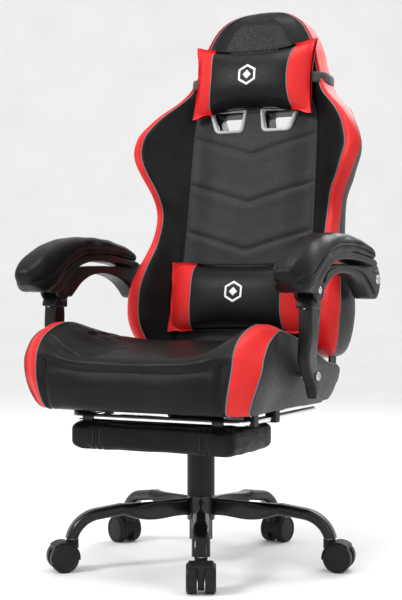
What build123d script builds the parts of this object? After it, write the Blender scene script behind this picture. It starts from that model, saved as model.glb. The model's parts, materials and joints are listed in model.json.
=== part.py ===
"""Gaming chair with a five-leg castor base, gas lift, rocking bucket seat, reclining back,
linkage armrests and a pull-out footrest.

Frame: origin on the column axis at the floor, +Z up, the chair faces -Y, the sitter's left is +X.
All sizes are in millimetres. "left" and "right" are the sitter's.
"""

import os
from math import cos, radians, sin

from build123d import *

os.makedirs("parts", exist_ok=True)

# ---- driving dimensions -------------------------------------------------------------------
SIDES = {"left": 1, "right": -1}
RUNNING_FIT = 0.05

# base and castors
LEG_COUNT = 5
FIRST_LEG_ANGLE = -63
STEM_CIRCLE = 285
LEG_END_Z = 69
HUB_RADIUS = 30
HUB_BOTTOM = 93
HUB_TOP = 148
WHEEL_RADIUS = 30
WHEEL_TRAIL = 21
WHEEL_INNER_Y = 8
WHEEL_OUTER_Y = 29.5
STEM_RADIUS = 5.5
AXLE_RADIUS = 4

# gas lift
OUTER_TUBE_RADIUS = 25
GAS_CYLINDER_RADIUS = 14
PISTON_ROD_RADIUS = 5
OUTER_TUBE_BOTTOM = 52
OUTER_TUBE_TOP = 262
LOWER_COVER_RADIUS = 30
UPPER_COVER_RADIUS = 28

# tilt mechanism
HOUSING_BOTTOM = 292
HOUSING_HALF_WIDTH = 60
SHEET = 3
TILT_PIVOT = (-20, 322)
TILT_PIN_RADIUS = 5
KNOB_Y = 82
LEVER_Y = 12
LEVER_Z = 302

# seat
PLATE_BOTTOM = 338
FRAME_BOTTOM = 342
CUSHION_BOTTOM = 347
FRAME_TUBE = 18
FRAME_HALF_WIDTH = 206
FRAME_FRONT = -235
FRAME_REAR = 190
SEAT_CORE_HALF_WIDTH = 165
SEAT_HALF_WIDTH = 274
ARM_PIVOT = (-50, 415)
ARM_PIVOT_RADIUS = 5
HINGE = (230, 410)
HINGE_PIN_RADIUS = 6
HINGE_BOSS_RADIUS = 20
HINGE_PLATE = 5
HINGE_GAP = 0.4

# footrest
RAIL_X = 199
RAIL_Z = 328
RAIL_FRONT = -215
RAIL_REAR = 156
RAIL_RADIUS = 6.75
PAD_HALF_WIDTH = 194
PAD_BOTTOM = 262
PAD_TOP = 318

# backrest
RECLINE_AT_REST = 8.5
BACK_FRONT_Y = 198.6
BACK_BOTTOM = 440
SLAB_DEPTH = 62
BACK_TUBE_RADIUS = 11
SLOT_BEZEL = 9
HEAD_PILLOW_U = 647

# armrests
POST_TOP_PIVOT = (-116, 592)
BACK_PIVOT = (240, 614)
LINK_INNER_X = 276
LINK_OUTER_X = 316
ARM_BOLT_RADIUS = 5
OPEN_PIVOT_CLEARANCE = 3.8

BASE = (Align.CENTER, Align.CENTER, Align.MIN)
BACK_UP = (0, sin(radians(RECLINE_AT_REST)), cos(radians(RECLINE_AT_REST)))
BACK_FORWARD = (0, -cos(radians(RECLINE_AT_REST)), sin(radians(RECLINE_AT_REST)))
BACK_ORIGIN = (0, BACK_FRONT_Y, BACK_BOTTOM)

# the plane of the back's front face: x across, y up the back, normal towards the sitter
BACK_PLANE = Plane(origin=BACK_ORIGIN, x_dir=(1, 0, 0), z_dir=BACK_FORWARD)
# the back seen from its side: x up the back, y towards the sitter, normal +X
BACK_SIDE = Plane(origin=BACK_ORIGIN, x_dir=BACK_UP, z_dir=(1, 0, 0))
# the back cut across: x across, y away from the sitter, normal up the back
BACK_SECTION = Plane(origin=BACK_ORIGIN, x_dir=(1, 0, 0), z_dir=BACK_UP)


def save(builder, name):
    """Label a finished piece and write its STEP file."""
    builder.part.label = name
    export_step(builder.part, f"parts/{name}.step")


def save_turned(builder, name, angle):
    """Write a piece that was drawn on the +X axis, turned about the column to its place."""
    turned = builder.part.rotate(Axis.Z, angle)
    turned.label = name
    export_step(turned, f"parts/{name}.step")


def side_plane(x):
    """A plane across the chair at x, with y to the rear and z up as its axes."""
    return Plane(origin=(x, 0, 0), x_dir=(0, 1, 0), z_dir=(1, 0, 0))


def ring_part(outer, inner, bottom, top, floor=0, cap=0):
    """An upright sleeve about the column axis, with a floor bored for the rod and a cap if asked."""
    with BuildPart() as ring:
        with BuildSketch(Plane.XY.offset(bottom)):
            Circle(outer)
            Circle(inner, mode=Mode.SUBTRACT)
        extrude(amount=top - bottom)
        if floor:
            with BuildSketch(Plane.XY.offset(bottom)):
                Circle(outer - 1)
                Circle(PISTON_ROD_RADIUS + RUNNING_FIT, mode=Mode.SUBTRACT)
            extrude(amount=floor)
        if cap:
            with BuildSketch(Plane.XY.offset(top - cap)):
                Circle(outer - 1)
            extrude(amount=cap)
    return ring


# ---- base ---------------------------------------------------------------------------------
with BuildPart() as base_hub:
    with BuildSketch(Plane.XY.offset(HUB_BOTTOM)):
        Circle(HUB_RADIUS)
    extrude(amount=HUB_TOP - HUB_BOTTOM)
    chamfer(base_hub.edges().filter_by(GeomType.CIRCLE), length=1.5)
    with Locations((0, 0, HUB_BOTTOM)):
        Cylinder(OUTER_TUBE_RADIUS, HUB_TOP - HUB_BOTTOM, align=BASE, mode=Mode.SUBTRACT)
save(base_hub, "base_hub")


def base_leg():
    """A steel tube, pinched tall and thin at the hub, flattened to an oval and bent down."""
    slope = 8.1
    oval = (37, 24, 11.7)
    oval_start = (178, 124.6)
    bend_start = (232, 116.9)
    bend_end = (287, LEG_END_Z)
    # (distance from the column, height of the middle, width, height)
    stations = [
        (HUB_RADIUS, 121.5, 9, 37),
        (75, 119.5, 10, 38),
        (125, 117.5, 15, 38),
        (152, 120, 27, 32),
    ]
    oval_plane = Plane(
        origin=(oval_start[0], 0, oval_start[1]),
        x_dir=(0, 1, 0),
        z_dir=(cos(radians(slope)), 0, -sin(radians(slope))),
    )
    with BuildPart() as leg:
        for reach, height, wide, tall in stations:
            with BuildSketch(Plane(origin=(reach, 0, height), x_dir=(0, 1, 0), z_dir=(1, 0, 0))):
                RectangleRounded(wide, tall, 0.48 * min(wide, tall))
        with BuildSketch(oval_plane):
            RectangleRounded(*oval)
        loft()
        with BuildLine(Plane.XZ) as tube_path:
            straight = Line(oval_start, bend_start)
            bend = TangentArc(bend_start, bend_end, tangent=straight % 1)
            Line(bend @ 1, (bend @ 1) + (bend % 1) * 9)
        with BuildSketch(oval_plane):
            RectangleRounded(*oval)
        sweep(path=tube_path.wires()[0])
        with Locations((STEM_CIRCLE, 0, LEG_END_Z)):
            Box(80, 60, 60, align=(Align.CENTER, Align.CENTER, Align.MAX), mode=Mode.SUBTRACT)
            Cylinder(STEM_RADIUS + RUNNING_FIT, 18, align=BASE, mode=Mode.SUBTRACT)
    return leg


def caster_hood():
    """The nylon body of a twin-wheel castor: a web, a fender over the wheels and a stem boss."""
    fender_radius = 33.6
    fender_half_width = 25
    web_half_width = 6.5
    boss_radius = 13
    hood_top = 66
    axle = (STEM_CIRCLE + WHEEL_TRAIL, WHEEL_RADIUS)
    with BuildPart() as hood:
        with BuildSketch(Plane.XZ):
            with Locations(axle):
                Circle(fender_radius)
            with Locations((axle[0] - 9, axle[1] + 17)):
                Rectangle(62, 42, mode=Mode.INTERSECT)
        extrude(amount=fender_half_width, both=True)
        fillet(hood.edges().filter_by(GeomType.CIRCLE), radius=3)
        with Locations((STEM_CIRCLE, 0, hood_top)):
            Cylinder(boss_radius, 18, align=(Align.CENTER, Align.CENTER, Align.MAX))
        for side in SIDES.values():
            with BuildSketch(Plane.XZ.offset(side * (web_half_width + 0.7))):
                with Locations(axle):
                    Circle(WHEEL_RADIUS + 1)
            extrude(amount=side * fender_half_width, mode=Mode.SUBTRACT)
        with BuildSketch(Plane.XZ):
            with Locations(axle):
                Circle(24)
        extrude(amount=web_half_width, both=True)
        with BuildSketch(Plane.XZ):
            with Locations(axle):
                Circle(AXLE_RADIUS)
        extrude(amount=web_half_width + 1, both=True, mode=Mode.SUBTRACT)
        with Locations((STEM_CIRCLE, 0, 50)):
            Cylinder(STEM_RADIUS, 20, align=BASE, mode=Mode.SUBTRACT)
    return hood


def caster_pins():
    """The castor's steel stem, with its collar, and the wheel axle."""
    with BuildPart() as pins:
        with Locations((STEM_CIRCLE, 0, 50)):
            Cylinder(STEM_RADIUS, 36, align=BASE)
        with Locations((STEM_CIRCLE, 0, 66)):
            Cylinder(8.5, 2.5, align=BASE)
        with Locations(Plane.XZ * Location((STEM_CIRCLE + WHEEL_TRAIL, WHEEL_RADIUS, 0))):
            Cylinder(AXLE_RADIUS, 54)
    return pins


def caster_wheels():
    """Two nylon wheels with a dished outer face and a blind bore."""
    axle = (STEM_CIRCLE + WHEEL_TRAIL, 0, WHEEL_RADIUS)
    section = Plane(origin=axle, x_dir=(0, 1, 0), z_dir=(1, 0, 0))
    bore = AXLE_RADIUS + RUNNING_FIT
    with BuildPart() as wheels:
        with BuildSketch(section):
            with BuildLine():
                Polyline(
                    (27.3, 0),
                    (27.3, bore),
                    (WHEEL_INNER_Y, bore),
                    (WHEEL_INNER_Y, WHEEL_RADIUS - 2),
                    (WHEEL_INNER_Y + 2, WHEEL_RADIUS),
                    (WHEEL_OUTER_Y - 4, WHEEL_RADIUS),
                    (WHEEL_OUTER_Y - 1, WHEEL_RADIUS - 1.5),
                    (WHEEL_OUTER_Y, WHEEL_RADIUS - 5),
                    (WHEEL_OUTER_Y - 1.5, WHEEL_RADIUS - 7),
                    (WHEEL_OUTER_Y - 0.5, 0),
                    close=True,
                )
            make_face()
        revolve(axis=Axis(axle, (0, 1, 0)))
        mirror(about=Plane.XZ)
    return wheels


for number in range(1, LEG_COUNT + 1):
    leg_angle = FIRST_LEG_ANGLE + (number - 1) * 360 / LEG_COUNT
    save_turned(base_leg(), f"base_leg_{number}", leg_angle)
    save_turned(caster_hood(), f"caster_hood_{number}", leg_angle)
    save_turned(caster_pins(), f"caster_pins_{number}", leg_angle)
    save_turned(caster_wheels(), f"caster_wheels_{number}", leg_angle)

# ---- gas lift -----------------------------------------------------------------------------
TUBE_WALL = 2.5
TUBE_FLOOR = 4
BEARING_TOP = OUTER_TUBE_BOTTOM + TUBE_FLOOR + 4
GAS_CYLINDER_BOTTOM = 95
GAS_CYLINDER_TOP = 324
GAS_CYLINDER_WALL = 2

column_outer_tube = ring_part(
    OUTER_TUBE_RADIUS,
    OUTER_TUBE_RADIUS - TUBE_WALL,
    OUTER_TUBE_BOTTOM,
    OUTER_TUBE_TOP,
    floor=TUBE_FLOOR,
)
save(column_outer_tube, "column_outer_tube")

column_bush = ring_part(
    OUTER_TUBE_RADIUS - TUBE_WALL, GAS_CYLINDER_RADIUS + RUNNING_FIT, 200, OUTER_TUBE_TOP
)
save(column_bush, "column_bush")

thrust_bearing = ring_part(15, 6, OUTER_TUBE_BOTTOM + TUBE_FLOOR, BEARING_TOP)
save(thrust_bearing, "thrust_bearing")

column_cover_lower = ring_part(LOWER_COVER_RADIUS, LOWER_COVER_RADIUS - 1.6, HUB_TOP, 258)
save(column_cover_lower, "column_cover_lower")

with BuildPart() as piston_rod:
    with Locations((0, 0, 46)):
        Cylinder(PISTON_ROD_RADIUS, 206, align=BASE)
    with Locations((0, 0, BEARING_TOP)):
        Cylinder(12, 3, align=BASE)
    with Locations((0, 0, 250)):
        Cylinder(GAS_CYLINDER_RADIUS - GAS_CYLINDER_WALL - RUNNING_FIT, 8, align=BASE)
    with Locations((0, 0, 48)):
        Cylinder(9, 2, align=BASE)
save(piston_rod, "piston_rod")

gas_cylinder = ring_part(
    GAS_CYLINDER_RADIUS,
    GAS_CYLINDER_RADIUS - GAS_CYLINDER_WALL,
    GAS_CYLINDER_BOTTOM,
    GAS_CYLINDER_TOP,
    floor=8,
    cap=6,
)
save(gas_cylinder, "gas_cylinder")

column_cover_upper = ring_part(UPPER_COVER_RADIUS, UPPER_COVER_RADIUS - 2, 172, HOUSING_BOTTOM)
save(column_cover_upper, "column_cover_upper")

# ---- tilt mechanism -----------------------------------------------------------------------
HOUSING_FRONT = -31
HOUSING_BACK = 105
SOCKET_TOP = 326

with BuildPart() as mechanism_housing:
    with BuildSketch(side_plane(0)):
        with BuildLine():
            Polyline(
                (HOUSING_FRONT, HOUSING_BOTTOM),
                (HOUSING_BACK, HOUSING_BOTTOM),
                (HOUSING_BACK, 306),
                (0, 328),
                (-14, 332),
                (-26, 332),
                (HOUSING_FRONT, 326),
                close=True,
            )
        make_face()
    extrude(amount=HOUSING_HALF_WIDTH, both=True)
    fillet(mechanism_housing.edges().filter_by(Axis.Z), radius=4)
    with BuildSketch(Plane.XY.offset(HOUSING_BOTTOM + SHEET)):
        with Locations((0, (HOUSING_FRONT + HOUSING_BACK) / 2)):
            Rectangle(
                2 * (HOUSING_HALF_WIDTH - SHEET), HOUSING_BACK - HOUSING_FRONT - 2 * SHEET
            )
    extrude(amount=60, mode=Mode.SUBTRACT)
    with Locations((0, 0, HOUSING_BOTTOM)):
        Cylinder(22, SOCKET_TOP - HOUSING_BOTTOM, align=BASE)
        Cylinder(GAS_CYLINDER_RADIUS, 60, align=BASE, mode=Mode.SUBTRACT)
    with BuildSketch(side_plane(0)):
        with Locations(TILT_PIVOT):
            Circle(TILT_PIN_RADIUS)
    extrude(amount=HOUSING_HALF_WIDTH + 5, both=True, mode=Mode.SUBTRACT)
    with Locations((0, KNOB_Y, HOUSING_BOTTOM)):
        Cylinder(5 + RUNNING_FIT, 10, align=BASE, mode=Mode.SUBTRACT)
    with Locations((-HOUSING_HALF_WIDTH, LEVER_Y, LEVER_Z)):
        Box(12, 12, 14, mode=Mode.SUBTRACT)
save(mechanism_housing, "mechanism_housing")

EAR_OUTER_X = HOUSING_HALF_WIDTH + 2 + 4

with BuildPart() as tilt_pin:
    with BuildSketch(side_plane(0)):
        with Locations(TILT_PIVOT):
            Circle(TILT_PIN_RADIUS)
    extrude(amount=EAR_OUTER_X + 2, both=True)
save(tilt_pin, "tilt_pin")

with BuildPart() as tilt_spring:
    with BuildLine():
        coil = Helix(pitch=7, height=35, radius=12, center=(0, KNOB_Y, 298))
    with BuildSketch(Plane(origin=coil @ 0, z_dir=coil % 0)):
        Circle(1.8)
    sweep(path=coil, is_frenet=True)
save(tilt_spring, "tilt_spring")

with BuildPart() as tilt_knob:
    knob_bottom = 262
    with Locations((0, KNOB_Y, knob_bottom)):
        Cylinder(20, 24, align=BASE)
    fillet(tilt_knob.edges().filter_by(GeomType.CIRCLE), radius=4)
    with Locations((0, KNOB_Y, knob_bottom - 1)):
        with PolarLocations(23, 8):
            Cylinder(6, 26, align=BASE, mode=Mode.SUBTRACT)
    with Locations((0, KNOB_Y, knob_bottom + 20)):
        Cylinder(5, 17, align=BASE)
save(tilt_knob, "tilt_knob")

with BuildPart() as lift_lever:
    with BuildSketch(side_plane(-30)):
        with Locations((LEVER_Y, LEVER_Z)):
            Circle(4)
    extrude(amount=-198)
    # pivot boss, turning about an axis along Y
    with Locations((-44, LEVER_Y, LEVER_Z)):
        Cylinder(5.5, 12, rotation=(90, 0, 0))
    with Locations((-256, LEVER_Y, LEVER_Z)):
        Box(68, 26, 9)
    fillet(lift_lever.edges().filter_by(Axis.Z), radius=10)
save(lift_lever, "lift_lever")

# ---- seat structure -----------------------------------------------------------------------
with BuildPart() as seat_plate:
    with BuildSketch(Plane.XY.offset(PLATE_BOTTOM)):
        with Locations((0, 39)):
            RectangleRounded(2 * EAR_OUTER_X, 146, 8)
    extrude(amount=FRAME_BOTTOM - PLATE_BOTTOM)
    for side in SIDES.values():
        with BuildSketch(side_plane(side * (EAR_OUTER_X - 4))):
            with Locations(TILT_PIVOT):
                Circle(10)
            with Locations((TILT_PIVOT[0], 330)):
                Rectangle(20, 16)
            with Locations(TILT_PIVOT):
                Circle(TILT_PIN_RADIUS + RUNNING_FIT, mode=Mode.SUBTRACT)
        extrude(amount=side * 4)
save(seat_plate, "seat_plate")

HINGE_SEAT_X = FRAME_HALF_WIDTH
HINGE_BACK_X = HINGE_SEAT_X + HINGE_PLATE + HINGE_GAP

with BuildPart() as seat_frame:
    frame_middle = (FRAME_FRONT + FRAME_REAR) / 2
    frame_length = FRAME_REAR - FRAME_FRONT
    with BuildSketch(Plane.XY.offset(FRAME_BOTTOM)):
        with Locations((0, frame_middle)):
            RectangleRounded(2 * FRAME_HALF_WIDTH, frame_length, 25)
            RectangleRounded(
                2 * (FRAME_HALF_WIDTH - FRAME_TUBE),
                frame_length - 2 * FRAME_TUBE,
                8,
                mode=Mode.SUBTRACT,
            )
        for member_y in (-20, 95):
            with Locations((0, member_y)):
                Rectangle(2 * (FRAME_HALF_WIDTH - 4), 26)
    extrude(amount=FRAME_TUBE)
    for side in SIDES.values():
        # recline hinge plate
        with BuildSketch(side_plane(side * HINGE_SEAT_X)):
            with BuildLine():
                Polyline(
                    (70, FRAME_BOTTOM),
                    (175, FRAME_BOTTOM),
                    (HINGE[0] + 8, HINGE[1] - HINGE_BOSS_RADIUS + 2),
                    (HINGE[0] - 8, HINGE[1] + HINGE_BOSS_RADIUS - 2),
                    (70, FRAME_BOTTOM + FRAME_TUBE),
                    close=True,
                )
            make_face()
            with Locations(HINGE):
                Circle(HINGE_BOSS_RADIUS)
                Circle(HINGE_PIN_RADIUS, mode=Mode.SUBTRACT)
        extrude(amount=side * HINGE_PLATE)
        # tab that carries the armrest pivot bolt
        with BuildSketch(side_plane(side * HINGE_SEAT_X)):
            with Locations((ARM_PIVOT[0], (FRAME_BOTTOM + 430) / 2)):
                RectangleRounded(50, 430 - FRAME_BOTTOM, 10)
            with Locations(ARM_PIVOT):
                Circle(ARM_PIVOT_RADIUS, mode=Mode.SUBTRACT)
        extrude(amount=side * HINGE_PLATE)
save(seat_frame, "seat_frame")

BOLT_HEAD_X = 292.6

with BuildPart() as seat_pivot_bolts:
    for side in SIDES.values():
        with BuildSketch(side_plane(side * (HINGE_SEAT_X - 4))):
            with Locations(HINGE):
                Circle(HINGE_PIN_RADIUS)
        extrude(amount=side * 18)
        with BuildSketch(side_plane(side * (HINGE_SEAT_X - 4))):
            with Locations(ARM_PIVOT):
                Circle(ARM_PIVOT_RADIUS)
        extrude(amount=side * (BOLT_HEAD_X - HINGE_SEAT_X + 4))
        with BuildSketch(side_plane(side * BOLT_HEAD_X)):
            with Locations(ARM_PIVOT):
                Circle(9)
        extrude(amount=side * 5, taper=20)
save(seat_pivot_bolts, "seat_pivot_bolts")

with BuildPart() as footrest_guides:
    for side in SIDES.values():
        for guide_y in (-170, -65):
            with Locations((side * RAIL_X, guide_y, FRAME_BOTTOM)):
                guide_height = FRAME_BOTTOM - RAIL_Z + 9.2
                Box(24, 20, guide_height, align=(Align.CENTER, Align.CENTER, Align.MAX))
        with BuildSketch(Plane.XZ.offset(-RAIL_REAR)):
            with Locations((side * RAIL_X, RAIL_Z)):
                Circle(RAIL_RADIUS + RUNNING_FIT)
        extrude(amount=400, mode=Mode.SUBTRACT)
save(footrest_guides, "footrest_guides")

# ---- seat upholstery ----------------------------------------------------------------------
with BuildPart() as seat_cushion:
    with BuildSketch(side_plane(0)):
        with BuildLine():
            Polyline(
                (-294, CUSHION_BOTTOM),
                (198, CUSHION_BOTTOM),
                (207, 370),
                (205, 410),
                (190, 431),
                (150, 460),
                (80, 476),
                (-60, 476),
                (-190, 466),
                (-290, 450),
                (-319, 425),
                (-326, 395),
                (-316, 362),
                close=True,
            )
        make_face()
    extrude(amount=SEAT_CORE_HALF_WIDTH, both=True)
    add(seat_frame.part, mode=Mode.SUBTRACT)
save(seat_cushion, "seat_cushion")


def seat_bolster(side):
    """The raised side of the bucket seat, on the sitter's left (+1) or right (-1)."""
    with BuildPart() as bolster:
        with BuildSketch(side_plane(side * SEAT_CORE_HALF_WIDTH)):
            with BuildLine():
                Polyline(
                    (-294, CUSHION_BOTTOM),
                    (198, CUSHION_BOTTOM),
                    (207, 370),
                    (205, 410),
                    (192, 427),
                    (100, 443),
                    (0, 479),
                    (-110, 512),
                    (-188, 525),
                    (-238, 521),
                    (-278, 498),
                    (-306, 462),
                    (-319, 420),
                    (-318, 375),
                    close=True,
                )
            make_face()
        extrude(amount=side * (SEAT_HALF_WIDTH - SEAT_CORE_HALF_WIDTH))
        with BuildSketch(Plane.XZ.offset(-300)):
            with BuildLine():
                Polyline(
                    (side * SEAT_CORE_HALF_WIDTH, CUSHION_BOTTOM),
                    (side * 234, CUSHION_BOTTOM),
                    (side * 261, 385),
                    (side * SEAT_HALF_WIDTH, 435),
                    (side * 268, 490),
                    (side * 251, 525),
                    (side * 227, 523),
                    (side * 188, 485),
                    (side * SEAT_CORE_HALF_WIDTH, 470),
                    close=True,
                )
            make_face()
        extrude(amount=700, mode=Mode.INTERSECT)
        with BuildSketch(Plane.XY.offset(CUSHION_BOTTOM)):
            with BuildLine():
                Polyline(
                    (side * SEAT_CORE_HALF_WIDTH, -330),
                    (side * 222, -324),
                    (side * 256, -308),
                    (side * 271, -276),
                    (side * SEAT_HALF_WIDTH, -225),
                    (side * 264, -150),
                    (side * 264, -20),
                    (side * 258, 100),
                    (side * 250, 212),
                    (side * SEAT_CORE_HALF_WIDTH, 212),
                    close=True,
                )
            make_face()
        extrude(amount=200, mode=Mode.INTERSECT)
        add(seat_frame.part, mode=Mode.SUBTRACT)
        add(seat_pivot_bolts.part, mode=Mode.SUBTRACT)
    return bolster


for side_name, side in SIDES.items():
    save(seat_bolster(side), f"seat_bolster_{side_name}")

# ---- footrest -----------------------------------------------------------------------------
with BuildPart() as footrest_tube:
    with BuildLine(Plane.XY.offset(RAIL_Z)) as rail_path:
        FilletPolyline(
            (-RAIL_X, RAIL_REAR),
            (-RAIL_X, RAIL_FRONT),
            (RAIL_X, RAIL_FRONT),
            (RAIL_X, RAIL_REAR),
            radius=32,
        )
    with BuildSketch(Plane(origin=(-RAIL_X, RAIL_REAR, RAIL_Z), z_dir=(0, -1, 0))):
        Circle(RAIL_RADIUS)
    sweep(path=rail_path.line)
    fillet(footrest_tube.edges().group_by(Axis.Y)[-1], radius=3)
save(footrest_tube, "footrest_tube")

with BuildPart() as footrest_pad:
    with BuildSketch(Plane.XY.offset(PAD_BOTTOM)):
        with Locations((0, -137.5)):
            RectangleRounded(2 * PAD_HALF_WIDTH, 195, 14)
    extrude(amount=PAD_TOP - PAD_BOTTOM)
    fillet(footrest_pad.edges().group_by(Axis.Z)[-1], radius=5)
    fillet(footrest_pad.edges().group_by(Axis.Z)[0], radius=8)
save(footrest_pad, "footrest_pad")

with BuildPart() as footrest_brackets:
    sleeve_radius = RAIL_Z - PAD_TOP
    for side in SIDES.values():
        with BuildSketch(side_plane(side * 150)):
            with Locations((RAIL_FRONT, RAIL_Z)):
                Circle(sleeve_radius)
            with Locations((RAIL_FRONT + 32, PAD_TOP + 1.5)):
                Rectangle(64, 3)
            with Locations((RAIL_FRONT, RAIL_Z)):
                Circle(RAIL_RADIUS + RUNNING_FIT, mode=Mode.SUBTRACT)
        extrude(amount=12, both=True)
save(footrest_brackets, "footrest_brackets")

# ---- backrest structure -------------------------------------------------------------------
with BuildPart() as back_frame:
    tube_x = 207 - BACK_TUBE_RADIUS + 4
    with BuildLine(BACK_PLANE.offset(-SLAB_DEPTH / 2)) as frame_path:
        FilletPolyline(
            (-tube_x, 12),
            (-tube_x, 300),
            (-138, 612),
            (138, 612),
            (tube_x, 300),
            (tube_x, 12),
            radius=45,
        )
    with BuildSketch(Plane(origin=frame_path.line @ 0, z_dir=frame_path.line % 0)):
        Circle(BACK_TUBE_RADIUS)
    sweep(path=frame_path.line)
    for side in SIDES.values():
        with BuildSketch(side_plane(side * HINGE_BACK_X)):
            with BuildLine():
                Polyline(
                    (HINGE[0] - 18, HINGE[1] + 6),
                    (HINGE[0] + 18, HINGE[1] + 6),
                    (256, 520),
                    (230, 530),
                    (222, 500),
                    close=True,
                )
            make_face()
            with Locations(HINGE):
                Circle(HINGE_BOSS_RADIUS - 1)
                Circle(HINGE_PIN_RADIUS + RUNNING_FIT, mode=Mode.SUBTRACT)
        extrude(amount=side * HINGE_PLATE)
        with BuildSketch(side_plane(side * (HINGE_BACK_X + 1))):
            with Locations((241, 505), (239.5, 475)):
                Circle(6)
        extrude(amount=side * -10)
save(back_frame, "back_frame")

with BuildPart() as arm_rear_bolts:
    for side in SIDES.values():
        with BuildSketch(side_plane(side * (tube_x + 3))):
            with Locations(BACK_PIVOT):
                Circle(ARM_BOLT_RADIUS)
        extrude(amount=side * (LINK_OUTER_X + 1 - tube_x - 3))
        with BuildSketch(side_plane(side * (LINK_OUTER_X + 1))):
            with Locations(BACK_PIVOT):
                Circle(11)
        extrude(amount=side * 5, taper=20)
    add(back_frame.part, mode=Mode.SUBTRACT)
save(arm_rear_bolts, "arm_rear_bolts")


def back_outline():
    """Half outline of the back on its own plane, mirrored: hips, waist, shoulders and head."""
    with BuildSketch() as outline:
        with BuildLine():
            edge = Spline(
                (214, 4),
                (253, 40),
                (266, 105),
                (259, 170),
                (241, 235),
                (232, 305),
                (241, 365),
                (268, 420),
                (287, 470),
                (278, 510),
                (240, 562),
                (183, 620),
                (157, 684),
                (142, 736),
                (112, 785),
                (64, 817),
                (0, 827),
            )
            Line(edge @ 1, (0, 4))
            Line((0, 4), edge @ 0)
        make_face()
        mirror(about=Plane.YZ)
    return outline


def slot_outline(side, grow=0):
    """One harness slot: a trapezoid, wider at its top, or the bezel round it."""
    with BuildSketch() as slot:
        with BuildLine():
            Polyline(
                (side * 32, 531),
                (side * 88, 531),
                (side * 108, 577),
                (side * 24, 577),
                close=True,
            )
        make_face()
        fillet(slot.vertices(), radius=6)
        if grow:
            offset(amount=grow)
    return slot


OUTLINE = back_outline()

with BuildPart() as back_cushion:
    with BuildSketch(BACK_PLANE):
        add(OUTLINE.sketch)
        for side in SIDES.values():
            add(slot_outline(side).sketch, mode=Mode.SUBTRACT)
    extrude(amount=-SLAB_DEPTH)
    # the shoulders are cut back behind, so that the wings stand forward of the slab
    with BuildSketch(BACK_SECTION.offset(345)):
        for side in SIDES.values():
            with BuildLine():
                Polyline(
                    (side * 300, 0),
                    (side * 284, 0),
                    (side * 240, SLAB_DEPTH),
                    (side * 300, SLAB_DEPTH),
                    close=True,
                )
            make_face()
    extrude(amount=255, mode=Mode.SUBTRACT)
    add(back_frame.part, mode=Mode.SUBTRACT)
    add(arm_rear_bolts.part, mode=Mode.SUBTRACT)
save(back_cushion, "back_cushion")

with BuildPart() as slot_bezels:
    with BuildSketch(BACK_PLANE):
        for side in SIDES.values():
            add(slot_outline(side, SLOT_BEZEL).sketch)
            add(slot_outline(side).sketch, mode=Mode.SUBTRACT)
    extrude(amount=3.5)
save(slot_bezels, "slot_bezels")


# ---- pillows ------------------------------------------------------------------------------
with BuildPart() as head_pillow:
    with BuildSketch(BACK_PLANE.offset(5.5)):
        with Locations((0, HEAD_PILLOW_U)):
            RectangleRounded(292, 168, 30)
    extrude(amount=60.5)
    fillet(head_pillow.faces().sort_by(Axis.Y)[0].edges(), radius=20)
save(head_pillow, "head_pillow")

with BuildPart() as head_strap:
    with BuildSketch(BACK_SECTION.offset(HEAD_PILLOW_U - 13)):
        with Locations((0, SLAB_DEPTH / 2 - 1.3)):
            RectangleRounded(2 * 178, SLAB_DEPTH + 7.4, 6)
            RectangleRounded(2 * 176, SLAB_DEPTH + 3.4, 5, mode=Mode.SUBTRACT)
        with Locations((0, -5)):
            Rectangle(2 * 100, 8, mode=Mode.SUBTRACT)
    extrude(amount=26)
save(head_strap, "head_strap")

with BuildPart() as lumbar_pillow:
    lumbar_bottom = 50
    with BuildSketch(BACK_PLANE.offset(0.5)):
        with Locations((0, lumbar_bottom + 82)):
            RectangleRounded(344, 164, 22)
    extrude(amount=66)
    fillet(lumbar_pillow.faces().sort_by(Axis.Y)[0].edges(), radius=18)
save(lumbar_pillow, "lumbar_pillow")


def back_bolster(side):
    """The wing down one side of the back: deep at the hips and shoulders, thin at the waist."""
    with BuildPart() as bolster:
        with BuildSketch(BACK_PLANE):
            add(OUTLINE.sketch)
            with BuildLine():
                Polyline(
                    (-side * 300, -10),
                    (side * 180, -10),
                    (side * 176, 200),
                    (side * 165, 300),
                    (side * 160, 450),
                    (side * 132, 600),
                    (side * 132, 640),
                    (side * 300, 640),
                    (side * 300, 840),
                    (-side * 300, 840),
                    close=True,
                )
            make_face(mode=Mode.SUBTRACT)
        extrude(amount=100)
        with BuildSketch(BACK_SIDE.offset(side * 300)):
            with BuildLine():
                Polyline((0, 0), (6, 34), (24, 66))
                Spline(
                    (24, 66),
                    (80, 92),
                    (130, 94),
                    (205, 72),
                    (270, 45),
                    (325, 37),
                    (390, 58),
                    (450, 80),
                    (500, 81),
                    (550, 61),
                    (600, 27),
                    (640, 6),
                )
                Polyline((640, 6), (640, 0), (0, 0))
            make_face()
        extrude(amount=-side * 250, mode=Mode.INTERSECT)
        for neighbour in (back_frame, head_pillow, head_strap):
            add(neighbour.part, mode=Mode.SUBTRACT)
    return bolster


for side_name, side in SIDES.items():
    save(back_bolster(side), f"back_bolster_{side_name}")

# ---- recline lever ------------------------------------------------------------------------
with BuildPart() as recline_lever:
    with BuildSketch(side_plane(-(HINGE_BACK_X + HINGE_PLATE + 6))):
        with Locations(HINGE):
            Circle(9)
    extrude(amount=-56)
    with BuildSketch(side_plane(-268)):
        with BuildLine():
            Polyline(
                (HINGE[0] + 9, HINGE[1] - 9),
                (HINGE[0] + 9, HINGE[1] + 7),
                (120, 404),
                (70, 408),
                (62, 400),
                (70, 388),
                (120, 386),
                close=True,
            )
        make_face()
    extrude(amount=-8)
save(recline_lever, "recline_lever")

# ---- armrests -----------------------------------------------------------------------------
CHEEK = 9


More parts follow.
